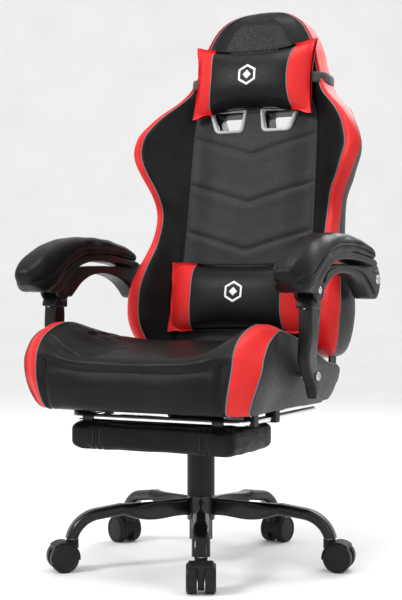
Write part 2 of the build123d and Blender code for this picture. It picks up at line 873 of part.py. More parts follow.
def arm_post(side):
    """Steel channel with a leaf-shaped lower lever and a welded pin for the arm's knuckle."""
    with BuildPart() as post:
        with BuildSketch(side_plane(side * 286)):
            with Locations((POST_TOP_PIVOT[0] - 1, 532)):
                Rectangle(42, 92)
            with BuildLine():
                Polyline((-138, 570), (-96, 570), (-98, 592), (-134, 592), close=True)
            make_face()
            with Locations(POST_TOP_PIVOT):
                Circle(19)
        extrude(amount=side * 30)
        with BuildSketch(side_plane(side * 268)):
            with BuildLine():
                Polyline(
                    (-138, 508),
                    (-96, 508),
                    (-64, 462),
                    (-33, 420),
                    (-31, 392),
                    (-40, 370),
                    (-54, 376),
                    (-76, 415),
                    (-112, 448),
                    (-138, 480),
                    close=True,
                )
            leaf = make_face()
            fillet(leaf.vertices(), radius=5)
            with Locations(ARM_PIVOT):
                Circle(ARM_PIVOT_RADIUS + RUNNING_FIT, mode=Mode.SUBTRACT)
        extrude(amount=side * 24)
        with BuildSketch(side_plane(side * (286 - CHEEK))):
            with Locations(POST_TOP_PIVOT):
                Circle(6)
        extrude(amount=side * (30 + 2 * CHEEK))
    return post


def arm_link(side):
    """Moulded arm: knuckle cheeks at the post, an arched arm to the back and the pad's tray."""
    with BuildPart() as link:
        with BuildSketch(side_plane(side * LINK_INNER_X)):
            with BuildLine():
                Polyline(
                    (-96, 600),
                    (-100, 622),
                    (-60, 636),
                    (-20, 644),
                    (50, 647),
                    (120, 645),
                    (180, 649),
                    (222, 653),
                    (252, 644),
                    (268, 625),
                    (270, 603),
                    (256, 580),
                    (244, 571),
                    (200, 571),
                    (178, 588),
                    (150, 608),
                    (105, 623),
                    (50, 628),
                    (0, 623),
                    (-45, 606),
                    (-75, 585),
                    close=True,
                )
            make_face()
            with Locations(BACK_PIVOT):
                Circle(ARM_BOLT_RADIUS + OPEN_PIVOT_CLEARANCE, mode=Mode.SUBTRACT)
        extrude(amount=side * (LINK_OUTER_X - LINK_INNER_X))
        with BuildSketch(side_plane(side * 269)):
            with BuildLine():
                Polyline(
                    (203, 654.7),
                    (150, 663.7),
                    (60, 671.7),
                    (-20, 669.7),
                    (-80, 655.7),
                    (-120, 631.7),
                    (-150, 607.7),
                    (-172, 596),
                    (-164, 588),
                    (-138, 591),
                    (-106, 615),
                    (-70, 640),
                    (-15, 654),
                    (60, 656),
                    (150, 651),
                    (198, 643),
                    close=True,
                )
            make_face()
        extrude(amount=side * 61)
        with BuildSketch(side_plane(side * (286 - CHEEK))):
            with Locations(POST_TOP_PIVOT):
                Circle(25)
        extrude(amount=side * (30 + 2 * CHEEK))
        # room for the post's head, all the way through its travel
        with BuildSketch(side_plane(side * 285.6)):
            with Locations(POST_TOP_PIVOT):
                Circle(23.5)
            with BuildLine():
                Polyline((-160, 592), (-190, 480), (-20, 480), (-68, 575), (-96, 600), close=True)
            make_face()
        extrude(amount=side * 30.8, mode=Mode.SUBTRACT)
        with BuildSketch(side_plane(side * 260)):
            with Locations(POST_TOP_PIVOT):
                Circle(6 + RUNNING_FIT)
        extrude(amount=side * 80, mode=Mode.SUBTRACT)
    return link


def arm_pad(side):
    """Padded rest on the tray, drooping at its front."""
    with BuildPart() as pad:
        with BuildSketch(side_plane(side * 263)):
            with BuildLine():
                Polyline(
                    (-233, 610),
                    (-222, 638),
                    (-190, 664),
                    (-142, 687),
                    (-86, 702),
                    (-20, 708),
                    (50, 706),
                    (120, 697),
                    (172, 684),
                    (203, 668),
                    (203, 655),
                    (150, 664),
                    (60, 672),
                    (-20, 670),
                    (-80, 656),
                    (-120, 632),
                    (-150, 608),
                    (-173.5, 596),
                    (-178, 589),
                    (-201, 585),
                    (-224, 592),
                    close=True,
                )
            make_face()
        extrude(amount=side * 76)
    return pad


for side_name, side in SIDES.items():
    save(arm_post(side), f"arm_post_{side_name}")
    save(arm_link(side), f"arm_link_{side_name}")
    save(arm_pad(side), f"arm_pad_{side_name}")
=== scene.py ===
"""Looks of the gaming chair: upholstery, pillows, arms, trim, materials, camera and light.

Metres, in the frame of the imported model: origin on the column axis at the floor, +Z up,
the chair faces -Y, the sitter's left is +X.
"""

import json
import math

import bmesh
import bpy
import numpy as np
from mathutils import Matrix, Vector


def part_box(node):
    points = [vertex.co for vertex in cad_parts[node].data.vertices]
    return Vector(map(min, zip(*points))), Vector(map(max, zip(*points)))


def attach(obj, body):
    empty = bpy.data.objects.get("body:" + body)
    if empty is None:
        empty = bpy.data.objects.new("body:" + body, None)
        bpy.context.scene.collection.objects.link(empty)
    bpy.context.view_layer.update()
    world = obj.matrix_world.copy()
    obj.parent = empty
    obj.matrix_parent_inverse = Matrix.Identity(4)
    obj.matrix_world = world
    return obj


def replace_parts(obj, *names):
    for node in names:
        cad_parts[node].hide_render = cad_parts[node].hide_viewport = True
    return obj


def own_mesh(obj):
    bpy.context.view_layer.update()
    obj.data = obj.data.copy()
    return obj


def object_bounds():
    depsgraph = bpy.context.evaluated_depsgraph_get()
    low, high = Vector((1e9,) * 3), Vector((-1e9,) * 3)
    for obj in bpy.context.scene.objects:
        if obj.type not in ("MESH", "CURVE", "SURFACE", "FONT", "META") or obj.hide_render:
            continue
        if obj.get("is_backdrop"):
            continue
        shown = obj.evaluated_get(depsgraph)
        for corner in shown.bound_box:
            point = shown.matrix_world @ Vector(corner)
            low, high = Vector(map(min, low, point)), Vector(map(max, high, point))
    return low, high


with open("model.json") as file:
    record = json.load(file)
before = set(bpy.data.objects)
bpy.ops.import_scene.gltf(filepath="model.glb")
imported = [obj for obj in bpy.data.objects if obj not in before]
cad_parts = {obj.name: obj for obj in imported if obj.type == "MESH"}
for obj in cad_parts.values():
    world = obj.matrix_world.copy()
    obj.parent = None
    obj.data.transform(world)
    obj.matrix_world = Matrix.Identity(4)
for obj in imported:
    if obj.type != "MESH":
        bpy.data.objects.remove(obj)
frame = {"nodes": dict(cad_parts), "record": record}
CAD_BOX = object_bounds()
SIDES = {"left": 1, "right": -1}
MM = 0.001

RECLINE_AT_REST = math.radians(8.5)
BACK_ORIGIN = np.array([0, 0.1986, 0.440])
BACK_UP = np.array([0, math.sin(RECLINE_AT_REST), math.cos(RECLINE_AT_REST)])
BACK_FORWARD = np.array([0, -math.cos(RECLINE_AT_REST), math.sin(RECLINE_AT_REST)])
SLAB_DEPTH = 62
PIPING_RADIUS = 0.0013
STITCH_LIFT = 0.0004


# ---- materials ----------------------------------------------------------------------------
def material(name, roughness=0.5, metallic=0.0, **sockets):
    """A new principled material and the parts that its nodes are built from."""
    made = bpy.data.materials.new(name)
    made.use_nodes = True
    tree = made.node_tree
    shader = tree.nodes["Principled BSDF"]
    shader.inputs["Roughness"].default_value = roughness
    shader.inputs["Metallic"].default_value = metallic
    for socket, value in sockets.items():
        shader.inputs[socket.replace("_", " ")].default_value = value
    place = tree.nodes.new("ShaderNodeTexCoord").outputs["Object"]
    return made, tree, shader, place


def noise(tree, place, scale, detail=3.0, stretch=None):
    """A noise texture's value over the object, stretched along an axis if asked."""
    if stretch:
        mapping = tree.nodes.new("ShaderNodeMapping")
        mapping.inputs["Scale"].default_value = stretch
        tree.links.new(place, mapping.inputs["Vector"])
        place = mapping.outputs["Vector"]
    texture = tree.nodes.new("ShaderNodeTexNoise")
    texture.inputs["Scale"].default_value = scale
    texture.inputs["Detail"].default_value = detail
    tree.links.new(place, texture.inputs["Vector"])
    return texture.outputs["Fac"]


def ramp(tree, value, low, high, start=0.35, end=0.65):
    """value mapped from start..end to low..high, for numbers or for colours."""
    if isinstance(low, (int, float)):
        node = tree.nodes.new("ShaderNodeMapRange")
        node.inputs["From Min"].default_value = start
        node.inputs["From Max"].default_value = end
        node.inputs["To Min"].default_value = low
        node.inputs["To Max"].default_value = high
        tree.links.new(value, node.inputs["Value"])
        return node.outputs["Result"]
    node = tree.nodes.new("ShaderNodeValToRGB")
    node.color_ramp.elements[0].position = start
    node.color_ramp.elements[1].position = end
    node.color_ramp.elements[0].color = (*low, 1)
    node.color_ramp.elements[1].color = (*high, 1)
    tree.links.new(value, node.inputs["Fac"])
    return node.outputs["Color"]


def bump(tree, shader, *layers):
    """Stacked bump layers: (height, strength, distance)."""
    below = None
    for height, strength, distance in layers:
        node = tree.nodes.new("ShaderNodeBump")
        node.inputs["Strength"].default_value = strength
        node.inputs["Distance"].default_value = distance
        tree.links.new(height, node.inputs["Height"])
        if below:
            tree.links.new(below, node.inputs["Normal"])
        below = node.outputs["Normal"]
    tree.links.new(below, shader.inputs["Normal"])


def grey(value):
    """A neutral colour."""
    return (value, value, value)


def leather(name, dark, light, rough_low=0.34, rough_high=0.5, shine=0.2):
    """Synthetic leather: fine pebble grain, soft creases, uneven gloss and tone."""
    made, tree, shader, place = material(name, Specular_IOR_Level=shine)
    cells = tree.nodes.new("ShaderNodeTexVoronoi")
    cells.feature = "DISTANCE_TO_EDGE"
    cells.inputs["Scale"].default_value = 620
    tree.links.new(place, cells.inputs["Vector"])
    broad = noise(tree, place, 9)
    fine = noise(tree, place, 240, 5)
    tree.links.new(ramp(tree, broad, dark, light), shader.inputs["Base Color"])
    tree.links.new(ramp(tree, fine, rough_low, rough_high), shader.inputs["Roughness"])
    creases = noise(tree, place, 55, 6)
    bump(
        tree,
        shader,
        (creases, 0.12, 0.0015),
        (ramp(tree, cells.outputs["Distance"], 0.0, 1.0, 0.0, 0.25), 0.16, 0.0004),
        (fine, 0.08, 0.0005),
    )
    return made


def moulded(name, dark, light, rough=0.5, grain=420, depth=0.18):
    """Moulded plastic with a fine spark-eroded texture and slightly polished patches."""
    made, tree, shader, place = material(name, roughness=rough, Specular_IOR_Level=0.2)
    spark = noise(tree, place, grain * 2, 4)
    broad = noise(tree, place, 14)
    tree.links.new(ramp(tree, broad, dark, light), shader.inputs["Base Color"])
    tree.links.new(ramp(tree, broad, rough - 0.07, rough + 0.07), shader.inputs["Roughness"])
    bump(tree, shader, (spark, depth, 0.0004))
    return made


def painted(name, dark, light, rough=0.3, coat=0.3, peel=0.1):
    """Powder coat or gloss paint over steel, with orange peel and dust-dulled areas."""
    made, tree, shader, place = material(
        name, Coat_Weight=coat, Coat_Roughness=0.12, Specular_IOR_Level=0.22
    )
    orange_peel = noise(tree, place, 260, 2)
    broad = noise(tree, place, 11, 4)
    tree.links.new(ramp(tree, broad, dark, light), shader.inputs["Base Color"])
    tree.links.new(ramp(tree, broad, rough - 0.06, rough + 0.08), shader.inputs["Roughness"])
    bump(tree, shader, (orange_peel, peel, 0.0005))
    return made


def bare_metal(name, dark, light, rough=0.2, stretch=(1, 1, 1)):
    """Plated or brushed steel with fine scratches along one direction."""
    made, tree, shader, place = material(name, metallic=1.0)
    scratches = noise(tree, place, 300, 4, stretch=stretch)
    tree.links.new(ramp(tree, scratches, dark, light), shader.inputs["Base Color"])
    smears = noise(tree, place, 18, 3)
    tree.links.new(ramp(tree, smears, rough * 0.7, rough * 1.3), shader.inputs["Roughness"])
    bump(tree, shader, (scratches, 0.04, 0.0003))
    return made


def webbing(name, dark, light, scale=700):
    """Woven band: crossed ribs of yarn."""
    made, tree, shader, place = material(name, roughness=0.75, Sheen_Weight=0.25)
    bands = []
    for direction in ("X", "Z"):
        wave = tree.nodes.new("ShaderNodeTexWave")
        wave.bands_direction = direction
        wave.inputs["Scale"].default_value = scale / 6
        wave.inputs["Distortion"].default_value = 0.4
        tree.links.new(place, wave.inputs["Vector"])
        bands.append(wave.outputs["Fac"])
    mixed = tree.nodes.new("ShaderNodeMath")
    mixed.operation = "MULTIPLY"
    tree.links.new(bands[0], mixed.inputs[0])
    tree.links.new(bands[1], mixed.inputs[1])
    tree.links.new(ramp(tree, mixed.outputs[0], dark, light, 0.0, 0.8), shader.inputs["Base Color"])
    bump(tree, shader, (mixed.outputs[0], 0.5, 0.0008))
    return made


BLACK_LEATHER = leather("black_leather", (0.0022, 0.0022, 0.0024), (0.0055, 0.0055, 0.006), shine=0.15)
PANEL_LEATHER = leather("panel_leather", (0.013, 0.013, 0.014), (0.019, 0.019, 0.020), 0.46, 0.6)
RED_LEATHER = leather("red_leather", (0.50, 0.010, 0.011), (0.61, 0.020, 0.020), 0.4, 0.54, 0.2)
PIPING = leather("grey_piping", (0.11, 0.11, 0.112), (0.17, 0.17, 0.172), 0.45, 0.6)
THREAD = moulded("stitch_thread", (0.012, 0.012, 0.013), grey(0.03), 0.6)
GREY_THREAD = moulded("grey_thread", (0.07, 0.07, 0.072), (0.12, 0.12, 0.122), 0.6)
NYLON = moulded("black_nylon", grey(0.006), grey(0.012), 0.48)
ARM_PLASTIC = moulded("arm_plastic", grey(0.006), grey(0.012), 0.38, 500, 0.1)
BEZEL = moulded("slot_bezel", (0.36, 0.37, 0.38), (0.46, 0.47, 0.48), 0.35, 500, 0.08)
GLOSS_BLACK = painted("gloss_black_paint", grey(0.003), grey(0.007), 0.26, 0.25)
SATIN_BLACK = painted("satin_black_paint", grey(0.004), grey(0.009), 0.4, 0.1)
GREY_STEEL = painted("grey_steel_paint", (0.008, 0.008, 0.009), (0.015, 0.015, 0.016), 0.42, 0.08)
CHROME = bare_metal("chrome", (0.72, 0.71, 0.70), (0.84, 0.83, 0.82), 0.10, (1, 30, 30))
STEEL = bare_metal("bright_steel", (0.42, 0.42, 0.43), (0.56, 0.56, 0.57), 0.24, (1, 12, 12))
STRAP = webbing("elastic_strap", (0.010, 0.010, 0.011), (0.034, 0.034, 0.036))
EMBLEM = moulded("emblem_print", grey(0.78), grey(0.88), 0.45)

NODE_MATERIALS = {
    "black_gloss_paint": GLOSS_BLACK,
    "black_nylon": NYLON,
    "bright_steel": STEEL,
    "black_tube": SATIN_BLACK,
    "black_lever": SATIN_BLACK,
    "grey_steel": GREY_STEEL,
    "moulded_black": ARM_PLASTIC,
    "footrest_chrome": CHROME,
    "slot_grey": BEZEL,
    "black_leather": BLACK_LEATHER,
    "red_leather": RED_LEATHER,
    "pillow_leather": BLACK_LEATHER,
    "elastic_strap": STRAP,
}
for part in frame["record"]["subparts"]:
    cad = frame["nodes"][part["node"]]
    cad.data.materials.clear()
    cad.data.materials.append(NODE_MATERIALS[part["material_slot"]])


# ---- shape helpers ------------------------------------------------------------------------
def profile(*points):
    """A smooth function through (place, value) points that never overshoots them."""
    xs = np.array([p[0] for p in points], float)
    ys = np.array([p[1] for p in points], float)
    h = np.diff(xs)
    d = np.diff(ys) / h
    m = np.zeros(len(xs))
    m[0], m[-1] = d[0], d[-1]
    for k in range(1, len(xs) - 1):
        if d[k - 1] * d[k] > 0:
            w1, w2 = 2 * h[k] + h[k - 1], h[k] + 2 * h[k - 1]
            m[k] = (w1 + w2) / (w1 / d[k - 1] + w2 / d[k])

    def value(x):
        x = min(max(x, xs[0]), xs[-1])
        k = min(int(np.searchsorted(xs, x, side="right")) - 1, len(xs) - 2)
        t = (x - xs[k]) / h[k]
        return float(
            (1 + 2 * t) * (1 - t) ** 2 * ys[k]
            + t * (1 - t) ** 2 * h[k] * m[k]
            + t * t * (3 - 2 * t) * ys[k + 1]
            + t * t * (t - 1) * h[k] * m[k + 1]
        )

    return value


def through(points, counts, closed=False):
    """Points on a smooth line through points, with counts[i] steps from point i to the next."""
    p = np.array(points, float)
    n = len(p)
    out = []
    for i in range(n if closed else n - 1):
        p1, p2 = p[i], p[(i + 1) % n]
        p0 = p[(i - 1) % n] if closed or i > 0 else 2 * p1 - p2
        p3 = p[(i + 2) % n] if closed or i < n - 2 else 2 * p2 - p1
        a = max(np.linalg.norm(p1 - p0), 1e-9) ** 0.5
        b = max(np.linalg.norm(p2 - p1), 1e-9) ** 0.5
        c = max(np.linalg.norm(p3 - p2), 1e-9) ** 0.5
        m1 = p2 - p1 + b * ((p1 - p0) / a - (p2 - p0) / (a + b))
        m2 = p2 - p1 + b * ((p3 - p2) / c - (p3 - p1) / (b + c))
        steps = counts if isinstance(counts, int) else counts[i]
        for k in range(steps):
            t = k / steps
            out.append(
                (2 * t**3 - 3 * t**2 + 1) * p1
                + (t**3 - 2 * t**2 + t) * m1
                + (3 * t**2 - 2 * t**3) * p2
                + (t**3 - t**2) * m2
            )
    if not closed:
        out.append(p[-1])
    return np.array(out)


def smoothstep(x, low, high):
    """0 below low, 1 above high, and a smooth rise between."""
    t = np.clip((x - low) / (high - low), 0, 1)
    return t * t * (3 - 2 * t)


def ridge(distance, width):
    """1 at no distance, falling smoothly to about a third at width."""
    return np.exp(-((distance / width) ** 2))


def unit(vector):
    """A vector scaled to length 1."""
    return vector / max(np.linalg.norm(vector), 1e-9)


def circle(steps):
    """Angles spaced evenly round a full turn."""
    return np.linspace(0, 2 * math.pi, steps, endpoint=False)


def squircle(half_a, half_b, power, steps):
    """A rounded rectangle as (a, b) pairs; the smaller the power, the tighter its corners."""
    out = []
    for angle in circle(steps):
        c, d = math.cos(angle), math.sin(angle)
        a, b = math.copysign(abs(c) ** power, c), math.copysign(abs(d) ** power, d)
        out.append((a * half_a, b * half_b))
    return out


def placed(name, data):
    """A new object of the scene that holds the given mesh, lamp or camera."""
    made = bpy.data.objects.new(name, data)
    bpy.context.scene.collection.objects.link(made)
    return made


def mesh_piece(name, verts, faces, materials, indices=None):
    """A mesh object from points and faces, smooth-shaded, with its normals outward."""
    mesh = bpy.data.meshes.new(name)
    mesh.from_pydata([tuple(v) for v in verts], [], faces)
    for m in materials:
        mesh.materials.append(m)
    if indices is not None:
        mesh.polygons.foreach_set("material_index", indices)
    piece = placed(name, mesh)
    work = bmesh.new()
    work.from_mesh(mesh)
    bmesh.ops.remove_doubles(work, verts=work.verts, dist=1e-6)
    bmesh.ops.dissolve_degenerate(work, edges=work.edges, dist=1e-7)
    bmesh.ops.recalc_face_normals(work, faces=work.faces)
    work.to_mesh(mesh)
    work.free()
    mesh.polygons.foreach_set("use_smooth", [True] * len(mesh.polygons))
    return piece


def loft(name, rings, materials, pick=None, caps=True, flat_ends=False):
    """A skin through closed rings of equal length; pick(row, column) gives the material."""
    rows, cols = len(rings), len(rings[0])
    verts = [p for ring in rings for p in ring]
    faces, indices = [], []
    for i in range(rows - 1):
        for j in range(cols):
            k = (j + 1) % cols
            faces.append((i * cols + j, i * cols + k, (i + 1) * cols + k, (i + 1) * cols + j))
            indices.append(pick(i, j) if pick else 0)
    for end in (0, rows - 1) if caps else ():
        if flat_ends:
            faces.append(tuple(end * cols + j for j in range(cols)))
            indices.append(0)
        else:
            centre = np.mean(np.array(rings[end]), axis=0)
            verts.append(centre)
            for j in range(cols):
                faces.append((end * cols + j, end * cols + (j + 1) % cols, len(verts) - 1))
                indices.append(pick(min(end, rows - 2), j) if pick else 0)
    return mesh_piece(name, verts, faces, materials, indices)


def apply_modifiers(piece):
    """Replace a piece's mesh by what its modifiers make of it."""
    bpy.context.view_layer.update()
    graph = bpy.context.evaluated_depsgraph_get()
    made = bpy.data.meshes.new_from_object(piece.evaluated_get(graph))
    piece.modifiers.clear()
    piece.data = made
    return piece


def subdivide(piece):
    """Smooth a piece by one level of subdivision."""
    change = piece.modifiers.new("subdivide", "SUBSURF")
    change.levels = 1
    change.render_levels = 1
    return apply_modifiers(piece)


def displace(piece, move):
    """Move each vertex by move(co, normal), which works on whole arrays."""
    mesh = piece.data
    co = np.zeros(len(mesh.vertices) * 3)
    normal = np.zeros(len(mesh.vertices) * 3)
    mesh.vertices.foreach_get("co", co)
    mesh.vertices.foreach_get("normal", normal)
    co, normal = co.reshape(-1, 3), normal.reshape(-1, 3)
    mesh.vertices.foreach_set("co", move(co, normal).ravel())
    mesh.update()
    return piece


def cord_of(name, points, radius, mat, closed=False):
    """A sewn-in welt or piping along points, as a round mesh tube."""
    p = np.array(points, float)
    n = len(p)
    rings = []
    up = None
    for i in range(n):
        a = p[(i - 1) % n] if closed or i else p[i]
        b = p[(i + 1) % n] if closed or i < n - 1 else p[i]
        along = unit(b - a)
        if up is None:
            up = np.cross(along, (0.31, 0.52, 0.8))
        up = unit(up - along * np.dot(up, along))
        across = np.cross(along, up)
        rings.append([p[i] + radius * (math.cos(q) * up + math.sin(q) * across) for q in circle(8)])
    if closed:
        rings.append(rings[0])
    return loft(name, rings, [mat], caps=not closed)


def piping(name, points, body, radius=PIPING_RADIUS):
    """Grey piping along a seam."""
    trim(cord_of(name, points, radius, PIPING), body)


def stitches(name, points, mat, normals, pitch=0.0052, length=0.0034, radius=0.00055):
    """A row of separate thread stitches along a line of points."""
    p = np.array(points, float)
    steps = np.linalg.norm(np.diff(p, axis=0), axis=1)
    at = np.concatenate([[0], np.cumsum(steps)])
    verts, faces = [], []
    for s in np.arange(pitch / 2, at[-1] - pitch / 2, pitch):
        start, end = [
            np.array([np.interp(s + d, at, p[:, k]) for k in range(3)]) for d in (-length / 2, length / 2)
        ]
        along = unit(end - start)
        out = np.array([np.interp(s, at, normals[:, k]) for k in range(3)])
        out = unit(out - along * np.dot(out, along))
        across = np.cross(along, out)
        middle = (start + end) / 2
        first = len(verts)
        for t, size in ((-0.5, 0.35), (-0.3, 0.9), (0, 1), (0.3, 0.9), (0.5, 0.35)):
            core = middle + along * t * length + out * (STITCH_LIFT + radius * (1 - 4 * t * t) * 0.6)
            for q in range(6):
                angle = q * math.pi / 3
                verts.append(core + radius * size * (math.cos(angle) * out + math.sin(angle) * across))
        for r in range(4):
            for q in range(6):
                a, b = first + r * 6 + q, first + r * 6 + (q + 1) % 6
                faces.append((a, b, b + 6, a + 6))
        faces.append(tuple(first + q for q in range(6)))
        faces.append(tuple(first + 24 + q for q in range(6)))
    return mesh_piece(name, verts, faces, [mat])


def lathe(name, centre, axis, outline, mat, sides=40):
    """A turned piece, from millimetres: outline is (distance along axis, radius) points."""
    axis = unit(np.array(axis, float))
    u = unit(np.cross(axis, (0.3, 0.7, 0.2)))
    v = np.cross(axis, u)
    rings = []
    for along, radius in outline:
        middle = (np.array(centre) + axis * along) * MM
        radius = max(radius * MM, 1e-5)
        rings.append([middle + radius * (math.cos(q) * u + math.sin(q) * v) for q in circle(sides)])
    return loft(name, rings, [mat])


def slab(name, outline, x0, x1, bevel, mat):
    """A flat piece between x0 and x1 with a rounded rim, from millimetres.

    The outline is closed (y, z) points."""
    p = np.array(outline, float) * MM
    x0, x1, bevel = x0 * MM, x1 * MM, bevel * MM
    steps = 3
    area = np.sum(p[:, 0] * np.roll(p[:, 1], -1) - np.roll(p[:, 0], -1) * p[:, 1])
    if area < 0:
        p = p[::-1]
    tangent = np.roll(p, -1, axis=0) - np.roll(p, 1, axis=0)
    tangent /= np.maximum(np.linalg.norm(tangent, axis=1, keepdims=True), 1e-9)
    inward = np.stack([-tangent[:, 1], tangent[:, 0]], axis=1)
    low, high = min(x0, x1), max(x0, x1)
    rims = []
    for k in range(steps + 1):
        a = k / steps * math.pi / 2
        rims.append((low + bevel * (1 - math.sin(a)), bevel * (1 - math.cos(a))))
    rims += [(low + high - x, inset) for x, inset in rims]
    rims.sort(key=lambda r: r[0])
    rings = [[(x, *(p[i] + inward[i] * inset)) for i in range(len(p))] for x, inset in rims]
    return loft(name, [np.array(r) for r in rings], [mat], flat_ends=True)


def on_surface(piece, point, out):
    """The point of a piece's surface under a point, looking against the direction out."""
    out = Vector(out).normalized()
    hit, where, normal, face = piece.ray_cast(Vector(point) + out * 0.04, -out)
    return np.array(where) if hit else np.array(point)


def trim(piece, body):
    """Say which body a piece rides."""
    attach(piece, body)
    return piece


def soft(piece, body, replaces):
    """The same for a padded piece that is seen in place of CAD nodes."""
    trim(piece, body)
    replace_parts(piece, *replaces)


def back_point(x, u, f):
    """A point of the backrest from millimetres: across, up the back, towards the sitter."""
    return BACK_ORIGIN + MM * (x * np.array([1, 0, 0]) + u * BACK_UP + f * BACK_FORWARD)


# ---- backrest -----------------------------------------------------------------------------
BACK_HEIGHT = 827
HEAD_CURVE = 38
FOOT_CURVE = 26
PANEL_TOP = 640
# (half width, height) along the backrest's outline, from its foot to its top
BACK_EDGE = through(
    [
        (218, 3), (243, 14), (257, 40), (266, 105), (259, 170), (241, 235), (232, 305), (241, 365),
        (268, 420), (287, 470), (278, 510), (240, 562), (183, 620), (157, 684), (142, 736), (112, 785),
        (64, 816), (14, 825),
    ],
    [4, 4, 8, 7, 7, 8, 7, 7, 6, 5, 6, 7, 7, 6, 6, 6, 6],
)
# lengths at a height u: how far the wing stands forward, the red band's and the panel's width,
# the crown of the slab's front, and how far its rear edge is set in
wing_front = profile(
    (0, 34), (24, 62), (80, 90), (130, 92), (205, 71), (270, 45), (325, 36), (390, 56), (450, 77),
    (500, 78), (550, 59), (600, 29), (640, 12), (680, 5), (BACK_HEIGHT, 2),
)
red_width = profile(
    (0, 36), (105, 38), (235, 27), (305, 23), (420, 26), (480, 29), (560, 20), (640, 13), (700, 11), (780, 9),
    (BACK_HEIGHT, 8),
)
panel_edge = profile(
    (0, 166), (200, 165), (300, 162), (450, 160), (560, 156), (640, 124), (700, 98), (770, 66),
    (BACK_HEIGHT, 10),
)
crown = profile((0, 4), (200, 8), (400, 12), (560, 10), (680, 9), (780, 8), (BACK_HEIGHT, 2))
rear_inset = profile(
    (0, 14), (200, 15), (305, 17), (390, 34), (470, 52), (520, 48), (580, 26), (640, 12), (BACK_HEIGHT, 9)
)


def side_seam(u):
    """How far forward the seam behind the red band lies; on the head it is at the rear edge."""
    up = smoothstep(u, 520, 610)
    return float((wing_front(u) - 24) * (1 - up) - 53 * up)


BACK_STEPS = (4, 6, 10, 4, 4, 6, 5, 5, 6)
SEAM_PANEL = sum(BACK_STEPS[:2])
SEAM_RED = sum(BACK_STEPS[:3])
SEAM_SIDE = sum(BACK_STEPS[:6])
SEAM_REAR = sum(BACK_STEPS[:7])
# the quilted V seams: the height of each tip, and its rise over V_REACH to the side
V_TIPS = (470, 356, 243)
V_RISE = 46
V_REACH = 150


def back_half_loop(half_width, u):
    """Half of the back's section at height u, from the front centre round to the rear centre."""
    middle = -SLAB_DEPTH / 2
    thin = 1.0
    if u > BACK_HEIGHT - HEAD_CURVE:
        thin = max(1 - ((u - BACK_HEIGHT + HEAD_CURVE) / HEAD_CURVE) ** 2, 0.02) ** 0.5
    if u < FOOT_CURVE:
        thin = max(1 - ((FOOT_CURVE - u) / FOOT_CURVE) ** 2, 0.05) ** 0.5
    deep = wing_front(u)
    panel = min(panel_edge(u), half_width - 24) if half_width > 40 else half_width * 0.4
    red = min(red_width(u), 0.3 * half_width)
    raised = crown(u)
    valley = 0.0 if u < PANEL_TOP else raised
    wing = smoothstep(deep, 8, 45)
    stations = [
        (0, raised),
        (panel * 0.55, raised * 0.92),
        (panel, valley * 0.8 + 1),
        (half_width - red, deep - 3 - 2 * (1 - wing)),
        (half_width - red * 0.45, deep - 1 * (1 - wing)),
        (half_width - 2, deep - 14),
        (half_width + 0.5, side_seam(u)),
        (half_width - min(rear_inset(u), half_width * 0.3), -59),
        (half_width * 0.55, -63),
        (0, -63.5),
    ]
    bulge = (stations[3][1] - stations[2][1]) * 0.05
    points = [(x, middle + (f - middle) * thin) for x, f in stations]
    line = through(points, BACK_STEPS)
    line[SEAM_PANEL + 1 : SEAM_RED, 1] += bulge
    return line


def back_skin():
    """The padded cover of the backrest, with its V-shaped seams; cut_slots cuts its harness slots."""
    rings, seam_rows = [], []
    for half_width, u in BACK_EDGE:
        half = back_half_loop(half_width, u)
        right = [back_point(x, u, f) for x, f in half]
        left = [back_point(-x, u, f) for x, f in half[1:-1][::-1]]
        rings.append(right + left)
        seam_rows.append(right)
    count = len(rings[0])

    def pick(row, column):
        column = column if column < len(half) - 1 else count - 1 - column
        if SEAM_RED <= column < SEAM_SIDE:
            return 1
        u = BACK_EDGE[row][1]
        if SEAM_SIDE <= column < SEAM_REAR:
            return 1 if u > 575 else 0
        return 2 if column < SEAM_PANEL and 20 < u < PANEL_TOP else 0

    skin = loft("backrest_cover", rings, [BLACK_LEATHER, RED_LEATHER, PANEL_LEATHER], pick)
    subdivide(skin)

    def quilt(co, normal):
        local = co - BACK_ORIGIN
        x = np.abs(local[:, 0]) / MM
        u = local @ BACK_UP / MM
        f = local @ BACK_FORWARD / MM
        front = (f > -6) & (normal @ BACK_FORWARD > 0.3)
        depth = np.zeros(len(co))
        edge = np.array([panel_edge(value) for value in u])
        inside = np.clip((edge - x) / 14, 0, 1)
        for tip in V_TIPS:
            near = (u - tip - V_RISE * x / V_REACH) * 0.96
            depth += -3.2 * ridge(near, 3.4) * inside
            depth += 1.0 * ridge(np.abs(near) - 15, 12) * inside
        depth += np.where((u < PANEL_TOP) & (u > 15), -3.5 * ridge(x - edge, 3.6), 0)
        folds = np.sin(u * 0.09 + 1.7 * np.sin(x * 0.045)) * ridge(x - edge - 30, 24)
        depth += 0.7 * folds * (u < 600)
        return co + normal * (np.where(front, depth, 0) * MM)[:, None]

    displace(skin, quilt)
    return skin, seam_rows


def slot_corners(side, grow):
    """The harness slot's corners, or those of a rim round it."""
    low, high = 531 - grow, 577 + grow
    inner, outer = (32 - 1.1 * grow, 24 - 1.1 * grow), (88 + 1.2 * grow, 108 + 1.2 * grow)
    return [(side * inner[0], low), (side * outer[0], low), (side * outer[1], high), (side * inner[1], high)]


def rounded(corners, radius, steps=6):
    """A closed outline with its corners rounded."""
    p = np.array(corners, float)
    out = []
    for i in range(len(p)):
        a, b, c = p[i - 1], p[i], p[(i + 1) % len(p)]
        start, end = b + unit(a - b) * radius, b + unit(c - b) * radius
        for k in range(steps + 1):
            t = k / steps
            out.append((1 - t) ** 2 * start + 2 * t * (1 - t) * b + t * t * end)
    return np.array(out)


